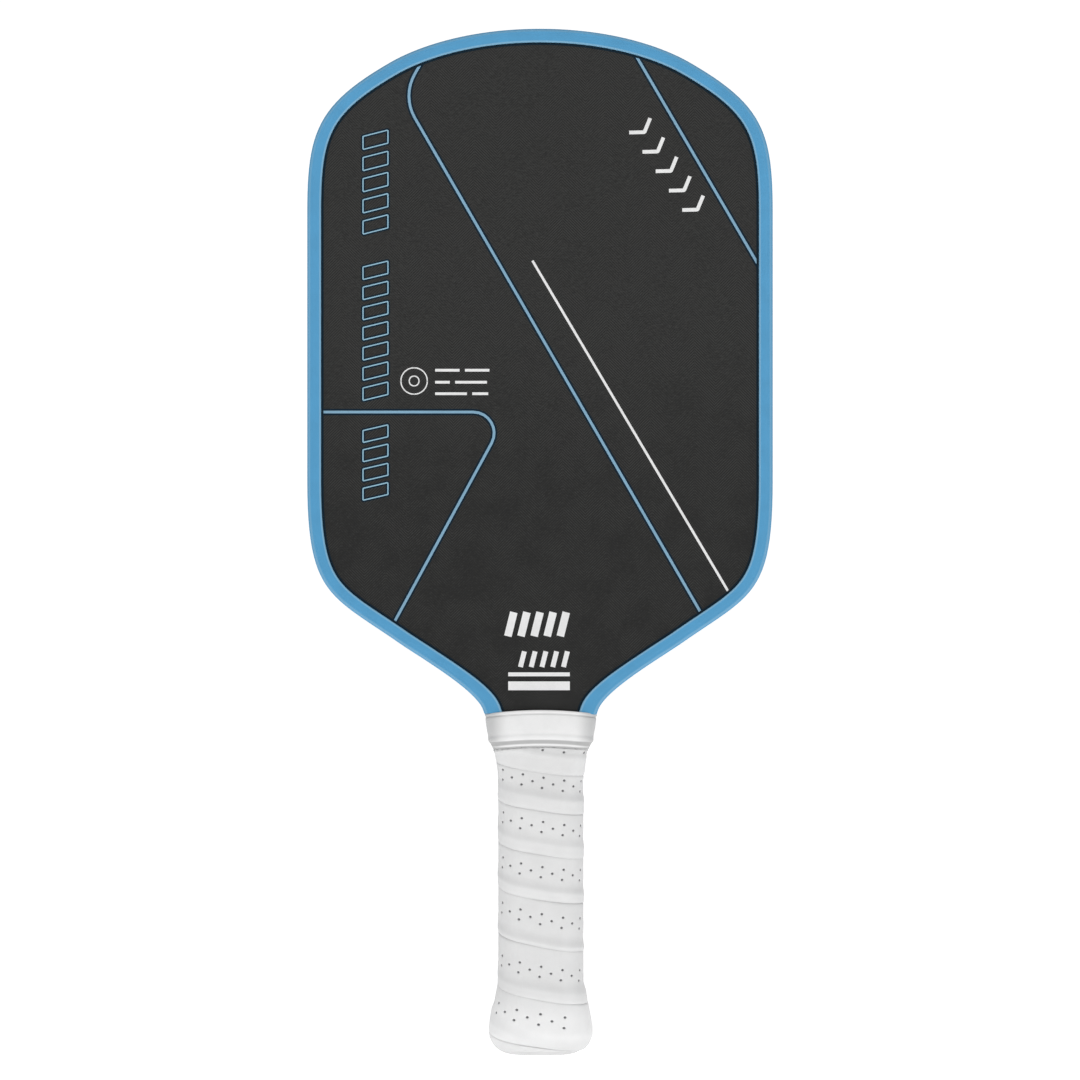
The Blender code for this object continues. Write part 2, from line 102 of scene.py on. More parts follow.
def panel_light(name, place, size, watts):
    """A square area light that looks at the paddle's middle."""
    data = bpy.data.lights.new(name, "AREA")
    data.size = size
    data.energy = watts
    light = bpy.data.objects.new(name, data)
    light.location = place
    middle = (cad_low + cad_high) / 2
    light.rotation_euler = (middle - light.location).to_track_quat("-Z", "Y").to_euler()
    scene.collection.objects.link(light)
    return light


panel_light("key", (-0.6, -1.45, 1.2), 1.2, 6.8)
panel_light("fill", (0.95, -1.45, 0.7), 1.0, 4.4)
panel_light("back", (0.5, 1.5, 1.1), 1.2, 5)

# %% [markdown]
# ## Shader sums
# A finish is a sum of patterns. To write it as one, a small class holds a socket, and adding or
# multiplying two of them adds the Math node that does it.


# %% Write shader maths as Python
class Wire:
    """One output of a shader tree. Arithmetic on it adds Math nodes."""

    def __init__(self, tree, socket):
        self.tree = tree
        self.socket = socket

    def node(self, kind, settings=None, inputs=None, out=0):
        """Adds any node: its settings first, then the values or wires of its sockets."""
        made = self.tree.nodes.new(kind)
        for name, value in (settings or {}).items():
            setattr(made, name, value)
        for key, value in (inputs or {}).items():
            if isinstance(value, Wire):
                self.tree.links.new(value.socket, made.inputs[key])
            else:
                made.inputs[key].default_value = value
        return Wire(self.tree, made.outputs[out])

    def math(self, operation, *others):
        inputs = dict(enumerate((self, *others)))
        return self.node("ShaderNodeMath", {"operation": operation}, inputs)

    def __add__(self, other):
        return self.math("ADD", other)

    def __radd__(self, other):
        return self.math("ADD", other)

    def __sub__(self, other):
        return self.math("SUBTRACT", other)

    def __rsub__(self, other):
        return (self * -1).math("ADD", other)

    def __mul__(self, other):
        return self.math("MULTIPLY", other)

    def __rmul__(self, other):
        return self.math("MULTIPLY", other)

    def __truediv__(self, other):
        return self.math("DIVIDE", other)

    def between(self, low, high):
        """0 below low, 1 above high, and a smooth rise between. Low may be the larger one."""
        settings = {"interpolation_type": "SMOOTHSTEP"}
        if low > high:
            return 1 - self.between(high, low)
        return self.node("ShaderNodeMapRange", settings, {0: self, 1: low, 2: high, 3: 0.0, 4: 1.0})

    def blend(self, first, second):
        """The first colour where this wire is 0, and the second where it is 1."""
        settings = {"data_type": "RGBA"}
        return self.node("ShaderNodeMix", settings, {0: self, 6: first, 7: second}, 2)


# %% Start a finish
class Finish:
    """A Principled material. Its patterns start from place or an attribute."""

    def __init__(self, name, roughness, specular=0.5, metallic=0.0):
        self.material = bpy.data.materials.new(name)
        self.material.use_nodes = True
        self.tree = self.material.node_tree
        self.shader = self.tree.nodes["Principled BSDF"]
        self.shader.inputs["Roughness"].default_value = roughness
        self.shader.inputs["Specular IOR Level"].default_value = specular
        self.shader.inputs["Metallic"].default_value = metallic
        coordinates = self.tree.nodes.new("ShaderNodeTexCoord")
        self.place = Wire(self.tree, coordinates.outputs["Object"])

    def axis(self, number):
        """One coordinate of the place, in metres."""
        return self.place.node("ShaderNodeSeparateXYZ", inputs={0: self.place}, out=number)

    def attribute(self, name):
        return self.place.node("ShaderNodeAttribute", {"attribute_name": name}, out=2)

    def noise(self, size, detail=2.0, stretch=(1, 1, 1), roughness=0.5):
        """Noise whose grains are about size metres across, longer where stretch is under 1."""
        scale = tuple(s / size for s in stretch)
        at = self.place.node("ShaderNodeMapping", inputs={0: self.place, 3: scale})
        inputs = {"Vector": at, "Scale": 1.0, "Detail": detail, "Roughness": roughness}
        return self.place.node("ShaderNodeTexNoise", inputs=inputs)

    def mottle(self, grain, size, detail=2.0, share=0.4, low=0.3, high=0.7):
        """A tone from 0 to 1: a share of a grain, and the rest clouds about size metres across."""
        return (grain * share + self.noise(size, detail) * (1 - share)).between(low, high)

    def wire(self, **inputs):
        """Links wires to the shader's sockets."""
        for key, value in inputs.items():
            self.tree.links.new(value.socket, self.shader.inputs[key.replace("_", " ").title()])

    def bump(self, height, distance, strength=1.0):
        """Raises the surface by height, a wire from 0 to 1, times distance in metres."""
        inputs = {"Strength": strength, "Distance": distance, "Height": height}
        self.wire(normal=self.place.node("ShaderNodeBump", inputs=inputs))

    def paint(self, *objects):
        """Gives the objects this finish."""
        for obj in objects:
            obj.data.materials.clear()
            obj.data.materials.append(self.material)


def shade(color, factor):
    """A colour made lighter or darker, with its alpha."""
    return tuple(min(c * factor, 1.0) for c in color) + (1.0,)


print("shader helpers ready")

# %% Light the world
WORLD_LIGHT = 0.45
WORLD_SEEN = 1.05
rays = world.node_tree.nodes.new("ShaderNodeLightPath")
seen = Wire(world.node_tree, rays.outputs["Is Camera Ray"])
strength = seen * (WORLD_SEEN - WORLD_LIGHT) + WORLD_LIGHT
background = world.node_tree.nodes["Background"]
background.inputs["Color"].default_value = (1, 1, 1, 1)
world.node_tree.links.new(strength.socket, background.inputs["Strength"])
print("world lights at", WORLD_LIGHT)

# %% Lay the floor
floor_finish = Finish("floor_paper", 0.9)
floor_finish.shader.inputs["Emission Strength"].default_value = 0.6
floor_finish.shader.inputs["Emission Color"].default_value = (1, 1, 1, 1)
floor_grain = floor_finish.noise(0.004).between(0.3, 0.7)
floor_finish.wire(base_color=floor_grain.blend((0.93, 0.93, 0.93, 1), (0.95, 0.95, 0.95, 1)))
FLOOR_GAP = 0.2 * MM
bpy.ops.mesh.primitive_circle_add(vertices=96, radius=8, fill_type="NGON", location=(0, 0, -FLOOR_GAP))
floor = bpy.context.object
floor.name = "floor"
floor_finish.paint(floor)
floor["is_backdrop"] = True
print("floor at", floor.location.z)

# %% [markdown]
# ## Tools for modelling
# Each operator works on what is selected. So there is one helper that selects an object, one that
# selects faces or edges by a test of their place, and one that finishes a piece: its place goes
# into its mesh, it gets its finish, and it rides with the paddle.


# %% Select by place
def only(obj):
    """Makes an object the one selected and active object."""
    if bpy.context.mode != "OBJECT":
        bpy.ops.object.mode_set(mode="OBJECT")
    bpy.ops.object.select_all(action="DESELECT")
    obj.select_set(True)
    bpy.context.view_layer.objects.active = obj


def pick(obj, kind, test):
    """In edit mode, selects the faces or edges that pass a test, and returns how many do."""
    if bpy.context.mode != "EDIT_MESH":
        only(obj)
        bpy.ops.object.mode_set(mode="EDIT")
    bpy.ops.mesh.select_mode(type=kind)
    bpy.ops.mesh.select_all(action="DESELECT")
    work = bmesh.from_edit_mesh(obj.data)
    items = work.faces if kind == "FACE" else work.edges
    chosen = [item for item in items if test(item)]
    for item in chosen:
        item.select_set(True)
    work.select_flush_mode()
    bmesh.update_edit_mesh(obj.data)
    return len(chosen)


def middle(edge):
    return (edge.verts[0].co + edge.verts[1].co) / 2


def climb_of(edge):
    return abs(edge.verts[0].co.z - edge.verts[1].co.z)


def rim_at(height):
    """A test that the edges of an open rim at that height pass."""
    return lambda edge: edge.is_boundary and abs(middle(edge).z - height) < 0.01 * MM


def cut_off(place, way):
    """Cuts off what is selected past a plane through a place, on the side of way, and closes it."""
    bpy.ops.mesh.bisect(plane_co=place, plane_no=way, use_fill=True, clear_outer=True)


print("selection helpers ready")


# %% Finish a mesh
def settle(obj):
    """Puts an object's place, turn and scale into its mesh."""
    only(obj)
    bpy.ops.object.transform_apply(location=True, rotation=True, scale=True)


def subdivide_smooth(obj, levels):
    only(obj)
    modifier = obj.modifiers.new("smooth", "SUBSURF")
    modifier.levels = levels
    modifier.render_levels = levels
    bpy.ops.object.modifier_apply(modifier=modifier.name)


def close_up(obj):
    """Merges doubles and turns every face outwards."""
    pick(obj, "FACE", lambda f: True)
    bpy.ops.mesh.remove_doubles(threshold=0.002 * MM)
    bpy.ops.mesh.select_all(action="SELECT")
    bpy.ops.mesh.normals_make_consistent(inside=False)
    bpy.ops.object.mode_set(mode="OBJECT")


def complete(obj, name, finish, *replaced, slot=None, angle=50):
    """Names a finished piece, paints it and lets it ride with the paddle."""
    obj.name = name
    obj.data.name = name
    settle(obj)
    bpy.ops.object.shade_smooth_by_angle(angle=math.radians(angle))
    finish.paint(obj)
    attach(obj, "root")
    if replaced:
        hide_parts(*replaced)
    bpy.ops.object.select_all(action="DESELECT")
    size = [round(v / MM, 1) for v in obj.dimensions]
    print(name, "faces", len(obj.data.polygons), "size", size)


print("finishing helpers ready")


# %% Reach the points of a mesh
def points_of(obj):
    """A mesh's points as an array of rows."""
    flat = np.empty(len(obj.data.vertices) * 3, np.float32)
    obj.data.vertices.foreach_get("co", flat)
    return flat.reshape(-1, 3).astype(float)


def move_points(obj, points):
    obj.data.vertices.foreach_set("co", points.astype(np.float32).ravel())
    obj.data.update()


def mark_points(obj, name, values):
    """Stores a number at each point of a mesh, for its finish to read."""
    layer = obj.data.attributes.new(name, "FLOAT", "POINT")
    layer.data.foreach_set("value", values.astype(np.float32))


def rise(value, low, high):
    """0 below low, 1 above high, and a smooth rise between."""
    share = np.clip((value - low) / (high - low), 0, 1)
    return share * share * (3 - 2 * share)


print("point helpers ready")

# %% [markdown]
# ## The carbon faces
# The faces are bare carbon cloth, left rough so that the ball grips. The resin takes the print of a
# fine peel cloth: slanting ribs under a millimetre apart, that lean one way and then the other in
# upright bands. The frame's flat sheets have the right shape, so they stay and only get the finish.

# %% Finish the faces
RIB_PITCH = 0.82 * MM
BAND_WIDTH = 9 * MM
carbon = Finish("carbon_face", 0.62, specular=0.3)
across = carbon.axis(0)
upward = carbon.axis(2)
drift = (carbon.noise(30 * MM, 1.0) - 0.5) * 3 * MM
band = ((across + drift) / (2 * BAND_WIDTH)).math("FRACT")
leans_left = band.between(0.49, 0.51)
lean = leans_left * 2 - 1
waves_per_metre = math.tau / (RIB_PITCH * math.sqrt(2))
ribs = ((upward + across * lean) * waves_per_metre).math("SINE") * 0.5 + 0.5
grit = carbon.noise(0.5 * MM, 3.0)
picks = carbon.noise(0.7 * MM, 2.0, (0.4, 1, 1.3))
clouds = carbon.noise(22 * MM, 3.0)
fade = carbon.noise(12 * MM, 1.0).between(0.3, 0.7) * 0.7 + 0.3
weave = (ribs - 0.5) * fade * 1.4 + (grit - 0.5) * 0.9 + (picks - 0.5) * 1.05 + (clouds - 0.5) * 0.12
# Darker towards the bottom: the tone rises from a height of 205 mm up to 300 mm, and stays lighter above.
WORN_FROM = 205 * MM
WORN_TO = 300 * MM
worn = upward.between(WORN_FROM, WORN_TO) * 0.3
tone = weave + worn + 0.15
CARBON = (0.016, 0.0162, 0.0153)
carbon.wire(base_color=tone.between(0, 1).blend(shade(CARBON, 0.3), shade(CARBON, 1.7)))
carbon.wire(roughness=grit * 0.2 + ribs * 0.08 + 0.46)
carbon.bump(ribs * 0.35 * fade + grit * 0.65, 0.07 * MM, 0.7)
carbon.paint(nodes["front_face_sheet"], nodes["back_face_sheet"])
face_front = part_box("front_face_sheet")[0].y
face_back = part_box("back_face_sheet")[1].y
print("faces at", round(face_front / MM, 2), round(face_back / MM, 2))

# %% [markdown]
# ## The edge guard
# The guard is an extruded rubber channel. It is pressed over the panel's rim, so its section is the
# same all the way round. In Blender that is a path with the section as its bevel object. The path
# is a smooth Bezier curve with a few points and long handles, from one side of the neck over the
# tip to the other.


# %% Draw the rim's path
def heading(degrees):
    return Vector((math.cos(math.radians(degrees)), math.sin(math.radians(degrees))))


guard_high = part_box("edge_guard")[1]
LENGTH = guard_high.z
SIDE = guard_high.x
COLLAR_ABOVE = 6.8 * MM
HANDLE_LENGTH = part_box("handle_pallet_front")[1].z + COLLAR_ABOVE
NECK_HALF = 23.5 * MM
LEVEL = Vector((1, 0))
DOWN = Vector((0, -1))
PAST_CORNER = heading(-29.9)
DOWN_FLANK = -heading(34.8)
DOWN_NECK = -heading(71.5)
NECK_TAIL = 12 * MM


def rim_half():
    """Right half of the rim, tip to neck: (point, heading, reach before it, reach after it)."""
    corner = Vector((SIDE - 34.1 * MM, LENGTH - 13.7 * MM))
    side_top = Vector((SIDE, LENGTH - 74.9 * MM))
    side_bottom = Vector((SIDE, HANDLE_LENGTH + 93.9 * MM))
    flank = Vector((SIDE - 37.4 * MM, HANDLE_LENGTH + 27.5 * MM))
    neck = Vector((NECK_HALF, HANDLE_LENGTH))
    straight = (side_top - side_bottom).length / 3
    return [
        (Vector((0, LENGTH)), LEVEL, 29.8 * MM, 29.8 * MM),
        (corner, PAST_CORNER, 12.1 * MM, 34.7 * MM),
        (side_top, DOWN, 32.7 * MM, straight),
        (side_bottom, DOWN, straight, 46.8 * MM),
        (flank, DOWN_FLANK, 34.8 * MM, 10.7 * MM),
        (neck, DOWN_NECK, 8.7 * MM, NECK_TAIL / 3),
        (neck + DOWN_NECK * NECK_TAIL, DOWN_NECK, NECK_TAIL / 3, NECK_TAIL / 3),
    ]


def whole_rim():
    """The rim from the left neck over the tip to the right neck."""
    right = rim_half()
    left = [
        (Vector((-p.x, p.y)), Vector((h.x, -h.y)), after, before)
        for p, h, before, after in reversed(right[1:])
    ]
    return left + right


knots = whole_rim()
print("rim knots", len(knots), "tip", [round(v / MM, 1) for v in (0, LENGTH)])


# %% Draw a path and sweep a section along it
def flat_path(name, knots, closed=False, resolution=24):
    """A curve in the XY plane through knots of (point, heading, reach before, reach after)."""
    bpy.ops.curve.primitive_bezier_curve_add()
    obj = bpy.context.object
    obj.name = name
    obj.data.dimensions = "2D"
    obj.data.resolution_u = resolution
    obj.data.render_resolution_u = 0
    obj.data.fill_mode = "NONE"
    spline = obj.data.splines[0]
    spline.bezier_points.add(len(knots) - 2)
    spline.use_cyclic_u = closed
    for target, (point, direction, before, after) in zip(spline.bezier_points, knots):
        target.handle_left_type = "FREE"
        target.handle_right_type = "FREE"
        target.co = (*point, 0)
        target.handle_left = (*(point - direction * before), 0)
        target.handle_right = (*(point + direction * after), 0)
    return obj


def sweep(path, section, front, name):
    """Sweeps a closed section along a flat path, and stands it up at the depth front."""
    bpy.ops.curve.primitive_bezier_curve_add()
    profile = bpy.context.object
    profile.data.dimensions = "2D"
    profile.data.splines.clear()
    spline = profile.data.splines.new("POLY")
    spline.points.add(len(section) - 1)
    spline.use_cyclic_u = True
    for target, p in zip(spline.points, section):
        target.co = (p.x, p.y, 0, 1)
    path.data.bevel_mode = "OBJECT"
    path.data.bevel_object = profile
    path.data.use_fill_caps = not path.data.splines[0].use_cyclic_u
    path.rotation_euler = (math.radians(90), 0, 0)
    path.location.y = front
    only(path)
    bpy.ops.object.convert(target="MESH")
    settle(path)
    bpy.data.objects.remove(profile)
    close_up(path)
    path.name = name
    return path


print("path helpers ready")

# %% Fit the guard's ends to the neck
NECK_ASIDE = 0.25 * MM
LIP_SPREAD = 1.5 * MM


def fit_neck(obj, inset):
    """Moves the neck a hair to the right, and lets the guard's lips grow wider towards the collar."""
    points = points_of(obj)
    x, z = points[:, 0], points[:, 2]
    spread = LIP_SPREAD * (1 - rise(z, HANDLE_LENGTH, HANDLE_LENGTH + 24 * MM))
    x -= np.sign(x) * spread * rise(inset, 2.5 * MM, 5.7 * MM)
    x += NECK_ASIDE * (1 - rise(z, HANDLE_LENGTH + 10 * MM, HANDLE_LENGTH + 90 * MM))
    move_points(obj, points)


print("neck moved", NECK_ASIDE / MM, "mm and its lips spread", LIP_SPREAD / MM, "mm")

# %% [markdown]
# The section is a squared U. Its outer corners are well rounded, and a shallow groove runs close
# to the outer edge, where the extrusion die left it. The lips end in a small bead that lies on the
# face. The rounding catches some light, and the thin bright lines along both edges are painted
# highlights in the guard's colour.


# %% Sweep the guard
def arc(center, radius, start, end, count):
    turns = [start + (end - start) * k / (count - 1) for k in range(count)]
    return [center + heading(turn) * radius for turn in turns]


GUARD_REACH = 5.75 * MM
GUARD_HALF = guard_high.y
GUARD_LIP = 1.1 * MM
GUARD_WEB = 1.3 * MM
OUTER_ROUND = 1.9 * MM
LIP_ROUND = 0.45 * MM
GUARD_CROWN = ((2.2, 0.1), (2.45, 0.02), (3.2, 0), (4.2, 0), (4.9, 0.04))


def guard_section():
    """The guard's section: x is the depth from its outer edge, y is across the paddle."""
    groove = GUARD_HALF - GUARD_LIP
    outer = Vector((OUTER_ROUND, GUARD_HALF - OUTER_ROUND))
    lip = Vector((GUARD_REACH - LIP_ROUND, GUARD_HALF - LIP_ROUND))
    upper = arc(outer, OUTER_ROUND, 180, 95, 9)
    upper += [Vector((x * MM, GUARD_HALF - drop * MM)) for x, drop in GUARD_CROWN]
    upper += arc(lip, LIP_ROUND, 90, 0, 6)
    upper += [Vector((GUARD_REACH, groove)), Vector((GUARD_WEB, groove))]
    lower = [Vector((p.x, -p.y)) for p in reversed(upper)]
    return upper + lower


guard = sweep(flat_path("edge_guard_path", knots), guard_section(), 0, "edge_guard_rubber")
print("guard swept:", len(guard.data.vertices), "points")

# %% [markdown]
# The guard ends at the collar, whose upper edge slants down at the sides. So each end of the guard is
# cut off along a slanting plane. Trimmed by hand, the two ends aren't quite at the same height.

# %% Cut the guard's ends on a slant
END_SLOPE = 6.6
NECK_TOP = HANDLE_LENGTH + 20 * MM
GUARD_ENDS = ((-1, -22.3 * MM, 138.9 * MM), (1, 23.3 * MM, 138.5 * MM))


def on_neck(face, side):
    center = face.calc_center_median()
    return center.x * side > 0 and center.z < NECK_TOP


for side, x, z in GUARD_ENDS:
    pick(guard, "FACE", lambda f: on_neck(f, side))
    tilt = heading(-90 + side * -END_SLOPE)
    cut_off((x, 0, z), (tilt.x, 0, tilt.y))
close_up(guard)
print("guard's ends cut:", len(guard.data.vertices), "points")

# %% [markdown]
# The rubber is a soft satin blue. It is dyed right through, so its colour hardly varies: a fine
# grain from the die and a slight cloudiness. A paler line along each of its two rounded corners is a
# painted highlight, where the light catches them. The lines follow the rim, so each point of the
# guard is told how far in from the rim it lies.


# %% Measure how far in the guard's points lie
def inset_from(line, points):
    """How far each of the points is from a line through a row of other points."""
    starts = line[:-1]
    along = line[1:] - starts
    shares = ((points[:, None] - starts) * along).sum(2) / (along * along).sum(1)
    nearest = starts + np.clip(shares, 0, 1)[..., None] * along
    return np.sqrt(((points[:, None] - nearest) ** 2).sum(2)).min(1)


rim_line = flat_path("rim_line", knots)
only(rim_line)
bpy.ops.object.convert(target="MESH")
rim_points = points_of(rim_line)[:, :2]
bpy.data.objects.remove(rim_line)
inset = inset_from(rim_points, points_of(guard)[:, [0, 2]])
fit_neck(guard, inset)
mark_points(guard, "inset", inset / MM)
print("inset from the rim up to", round(inset.max() / MM, 2), "mm")

# %% Finish the guard
GUARD_BLUE = (0.062, 0.292, 0.525)
GUARD_RUBBED = (0.2, 0.4, 0.56, 1)
blue = Finish("guard_blue", 0.42, specular=0.45)
inward = blue.attribute("inset")
# Painted highlights: a paler line along the rounded outer corner and one along the lip's rounded edge.
outer_line = inward.between(0.35, 0.75) * inward.between(1.6, 1.0)
lip_line = inward.between(4.85, 5.3)
rubbed = outer_line * 0.55 + lip_line * 0.8
blue_grain = blue.noise(0.25 * MM, 2.0)
blue_tone = blue.mottle(blue_grain, 9 * MM, 3.0, 0.3, 0.2, 0.8)
dyed = blue_tone.blend(shade(GUARD_BLUE, 0.92), shade(GUARD_BLUE, 1.05))
blue.wire(base_color=rubbed.blend(dyed, GUARD_RUBBED))
blue.wire(roughness=blue_grain * 0.16 + 0.34)
blue.bump(blue_grain, 0.02 * MM, 0.5)
complete(guard, "edge_guard_rubber", blue, "edge_guard", slot="guard_blue", angle=35)

# %% [markdown]
# ## The dark line along the guard
# A dark navy strip stands in for the shadow under the guard's lip, between the lip and the carbon:
# painted shadow. It follows the same path, further in. It is a narrow ellipse swept along the rim,
# one in front and one behind.


# %% Lay the painted shadow under the lip
def ellipse(center, half_wide, half_high, count=12):
    turns = [math.tau * k / count for k in range(count)]
    return [center + Vector((math.cos(t) * half_wide, math.sin(t) * half_high)) for t in turns]


SEAL_HALF = 0.6 * MM
SEAL_HIGH = 0.1 * MM
# Painted shadow: a dark navy strip under the lip, where the lip shades the carbon.
navy = Finish("sealant_navy", 0.6, specular=0.05)
navy_grain = navy.noise(1.5 * MM, 2.0)
navy.wire(base_color=navy_grain.blend((0.004, 0.014, 0.024, 1), (0.008, 0.02, 0.032, 1)))
navy.bump(navy_grain, 0.02 * MM, 0.4)
for side, face, word in ((-1, face_front, "front"), (1, face_back, "back")):
    seal = sweep(
        flat_path("seal_path", knots),
        ellipse(Vector((GUARD_REACH + 0.35 * MM, 0)), SEAL_HALF, SEAL_HIGH),
        face + side * (SEAL_HIGH + 0.01 * MM),
        "edge_sealant_" + word,
    )
    pick(seal, "FACE", lambda f: True)
    cut_off((0, 0, HANDLE_LENGTH - 0.5 * MM), (0, 0, -1))
    close_up(seal)
    fit_neck(seal, inset_from(rim_points, points_of(seal)[:, [0, 2]]))
    complete(seal, "edge_sealant_" + word, navy)

# %% [markdown]
# ## The printed lines
# The graphics are screen printed: a film of ink you can just feel with a nail. A printed line is a
# flat ellipse swept along its path, so it has a soft edge and a real thickness. Each blue line has a
# wider dark one below it. Where a line turns, the corner is a fillet, worked out from its radius.


# %% Draw a line with rounded corners
PRINT_RISE = 0.35 * MM


def at(x, z):
    """A place on the print, which sits a little above the height it is written at."""
    return Vector((x * MM, z * MM + PRINT_RISE))


def filleted(points, radius, closed=False):
    """Knots of a path through the points, with corners of that radius."""
    knots = []
    count = len(points)
    for k, p in enumerate(points):
        arrive = (p - points[k - 1]).normalized()
        leave = (points[(k + 1) % count] - p).normalized()
        if not closed and k in (0, count - 1):
            knots.append((p, arrive if k else leave, 0.1 * MM, 0.1 * MM))
            continue
        turn = arrive.angle(leave)
        back = radius * math.tan(turn / 2)
        reach = radius * 4 / 3 * math.tan(turn / 4)
        knots.append((p - arrive * back, arrive, back * 0.3, reach))
        knots.append((p + leave * back, leave, reach, back * 0.3))
    return knots


def stroke(points, width, height, lift, side, radius=0.3 * MM, closed=False, name="stroke"):
    """A line of ink on the front face, side -1, or turned round onto the back, side 1."""
    if side == 1:
        points = [Vector((-p.x, p.y)) for p in points]
    face = face_front if side == -1 else face_back
    path = flat_path(name, filleted(points, radius, closed), closed, resolution=8)
    return sweep(path, ellipse(Vector((0, 0)), width / 2, height), face + side * lift, name)


def joined(objects, name):
    """Joins pieces of one colour into one object."""
    only(objects[0])
    for obj in objects:
        obj.select_set(True)
    bpy.ops.object.join()
    obj = bpy.context.object
    obj.name = name
    return obj


print("prints raised", PRINT_RISE / MM, "mm")

# %% Place the lines
INK_HIGH = 0.03 * MM
UNDER_LIFT = 0.04 * MM
OVER_LIFT = 0.09 * MM
LONG_LINE = [at(-45.1, 410.8), at(-56.4, 391.2), at(68.4, 175.3)]
CORNER_LINE = [at(36.1, 413.1), at(92.2, 317.2)]
TURNING_LINE = [at(-93.2, 261.9), at(-12.9, 261.9), at(-62.3, 171)]
WHITE_LINE = [at(-3.1, 323.8), at(78.8, 185.5)]
BLUE_LINES = ((LONG_LINE, 18 * MM), (CORNER_LINE, 1 * MM), (TURNING_LINE, 8.6 * MM))
print("lines:", len(BLUE_LINES) + 1)


# %% Mix the inks
def ink(name, color, spread=0.06, specular=0.35):
    """Ink with small pinholes and a slight change of tone."""
    made = Finish(name, 0.45, specular=specular)
    grain = made.noise(0.5 * MM, 3.0)
    tone = made.mottle(grain, 7 * MM, 1.0, 0.5, 0.25, 0.75)
    made.wire(base_color=tone.blend(shade(color, 1 - spread), shade(color, 1 + spread)))
    made.bump(grain, 0.015 * MM, 0.5)
    return made


blue_ink = ink("ink_blue", (0.19, 0.35, 0.48))
white_ink = ink("ink_white", (0.74, 0.74, 0.74))
navy_ink = ink("ink_navy", (0.006, 0.017, 0.029), specular=0.05)
print("inks mixed")

# %% Print the lines on both faces
LINE_WIDTH = 1.1 * MM
EDGED_WIDTH = 2.6 * MM
for side, word in ((-1, "front"), (1, "back")):
    over = [stroke(p, LINE_WIDTH, INK_HIGH, OVER_LIFT, side, r) for p, r in BLUE_LINES]
    under = [stroke(p, EDGED_WIDTH, INK_HIGH, UNDER_LIFT, side, r) for p, r in BLUE_LINES]
    pale = stroke(WHITE_LINE, 1.0 * MM, INK_HIGH, UNDER_LIFT, side)
    complete(joined(over, "lines"), "lines_blue_" + word, blue_ink)
    complete(joined(under, "lines"), "lines_navy_" + word, navy_ink)
    complete(pale, "line_white_" + word, white_ink)

# %% [markdown]
# ## The printed marks
# The makers' words and badges are left out. Plain marks of about their size and weight stand in
# their places: a column of outlined slanting bars, a ring with three rows of dashes, a row of
# chevrons, and two groups of solid bars near the neck.


# %% Print the column of bars
def outlined_bars(low, high, count, left, right):
    """Outlined bars that stand side by side up a column, each leaning the same way."""
    pitch = (high - low) / count
    wide = pitch * 0.62
    lean = pitch * 0.3
    bars = []
    for k in range(count):
        z = low + pitch * k + (pitch - wide - lean) / 2
        bars.append([at(left, z), at(left, z + wide), at(right, z + wide + lean), at(right, z + lean)])
    return bars


COLUMN_LEFT = -72.4
COLUMN_RIGHT = -62.2
GROUPS = ((225.5, 257.0, 4), (266.3, 324.0, 7), (334.3, 377.6, 5))
BAR_CORNER = 0.35 * MM
HAIR = 0.5 * MM
HALO = 1.7 * MM
column = []
for low, high, count in GROUPS:
    column += outlined_bars(low, high, count, COLUMN_LEFT, COLUMN_RIGHT)
halos = [stroke(bar, HALO, INK_HIGH, UNDER_LIFT, -1, BAR_CORNER, closed=True) for bar in column]
complete(joined(halos, "marks"), "marks_navy_bars", navy_ink)
outlines = [stroke(bar, HAIR, INK_HIGH, OVER_LIFT, -1, BAR_CORNER, closed=True) for bar in column]
outline_ink = ink("ink_outline_blue", (0.25, 0.44, 0.56))
complete(joined(outlines, "marks"), "marks_outlined_bars", outline_ink)

# %% Start the white marks with the ring and its dashes
white_marks = []


def print_white(points, width, *corner, closed=False):
    white_marks.append(stroke(points, width, INK_HIGH, UNDER_LIFT, -1, *corner, closed=closed))


ring_center = at(-51.5, 274.6)
for radius in (5.4 * MM, 2.0 * MM):
    corners = [ring_center + heading(90 * k + 45) * radius * math.sqrt(2) for k in range(4)]
    print_white(corners, HAIR, radius - 0.05 * MM, closed=True)
for z, dashes in ((279.0, (10, 10)), (274.1, (6, 13)), (269.4, (13, 6.5))):
    x = -42.9
    for dash in dashes:
        print_white([at(x, z), at(x + dash, z)], 1.1 * MM)
        x += dash + 2.2
print("ring and dashes:", len(white_marks))

# %% Add the chevrons
RUN = (at(66.7, 343.6) - at(40.9, 381.3)).normalized()
RISE = Vector((-RUN.y, RUN.x))
run_start = at(42.7, 381.7) + RISE * -3 * MM
CHEVRONS = 5
CHEVRON_PITCH = 9.6 * MM
CHEVRON_TALL = 5.2 * MM
CHEVRON_DEEP = 3.4 * MM
for k in range(CHEVRONS):
    foot = run_start + RUN * (k * CHEVRON_PITCH + 1 * MM)
    chevron = [foot - RISE * CHEVRON_TALL, foot + RUN * CHEVRON_DEEP, foot + RISE * CHEVRON_TALL]
    print_white(chevron, 1.5 * MM, 0.5 * MM)
print("chevrons:", CHEVRONS)


# %% Add the solid bars near the neck
def solid_bars(left, right, low, high, count, weight):
    """A row of solid bars that lean to the right."""
    lean = (high - low) * 0.25
    pitch = (right - left - lean - weight) / (count - 1)
    for k in range(count):
        x = left + weight / 2 + pitch * k
        print_white([at(x, low), at(x + lean, high)], weight * MM)


solid_bars(-14.7, 12.3, 170.2, 180.0, 5, 3.1)
solid_bars(-9, 12.2, 157.6, 164.0, 5, 2.0)
for z, weight in ((154.6, 1.6), (149.9, 3.6)):
    print_white([at(-13, z), at(12.2, z)], weight * MM)
complete(joined(white_marks, "marks"), "marks_white", white_ink)

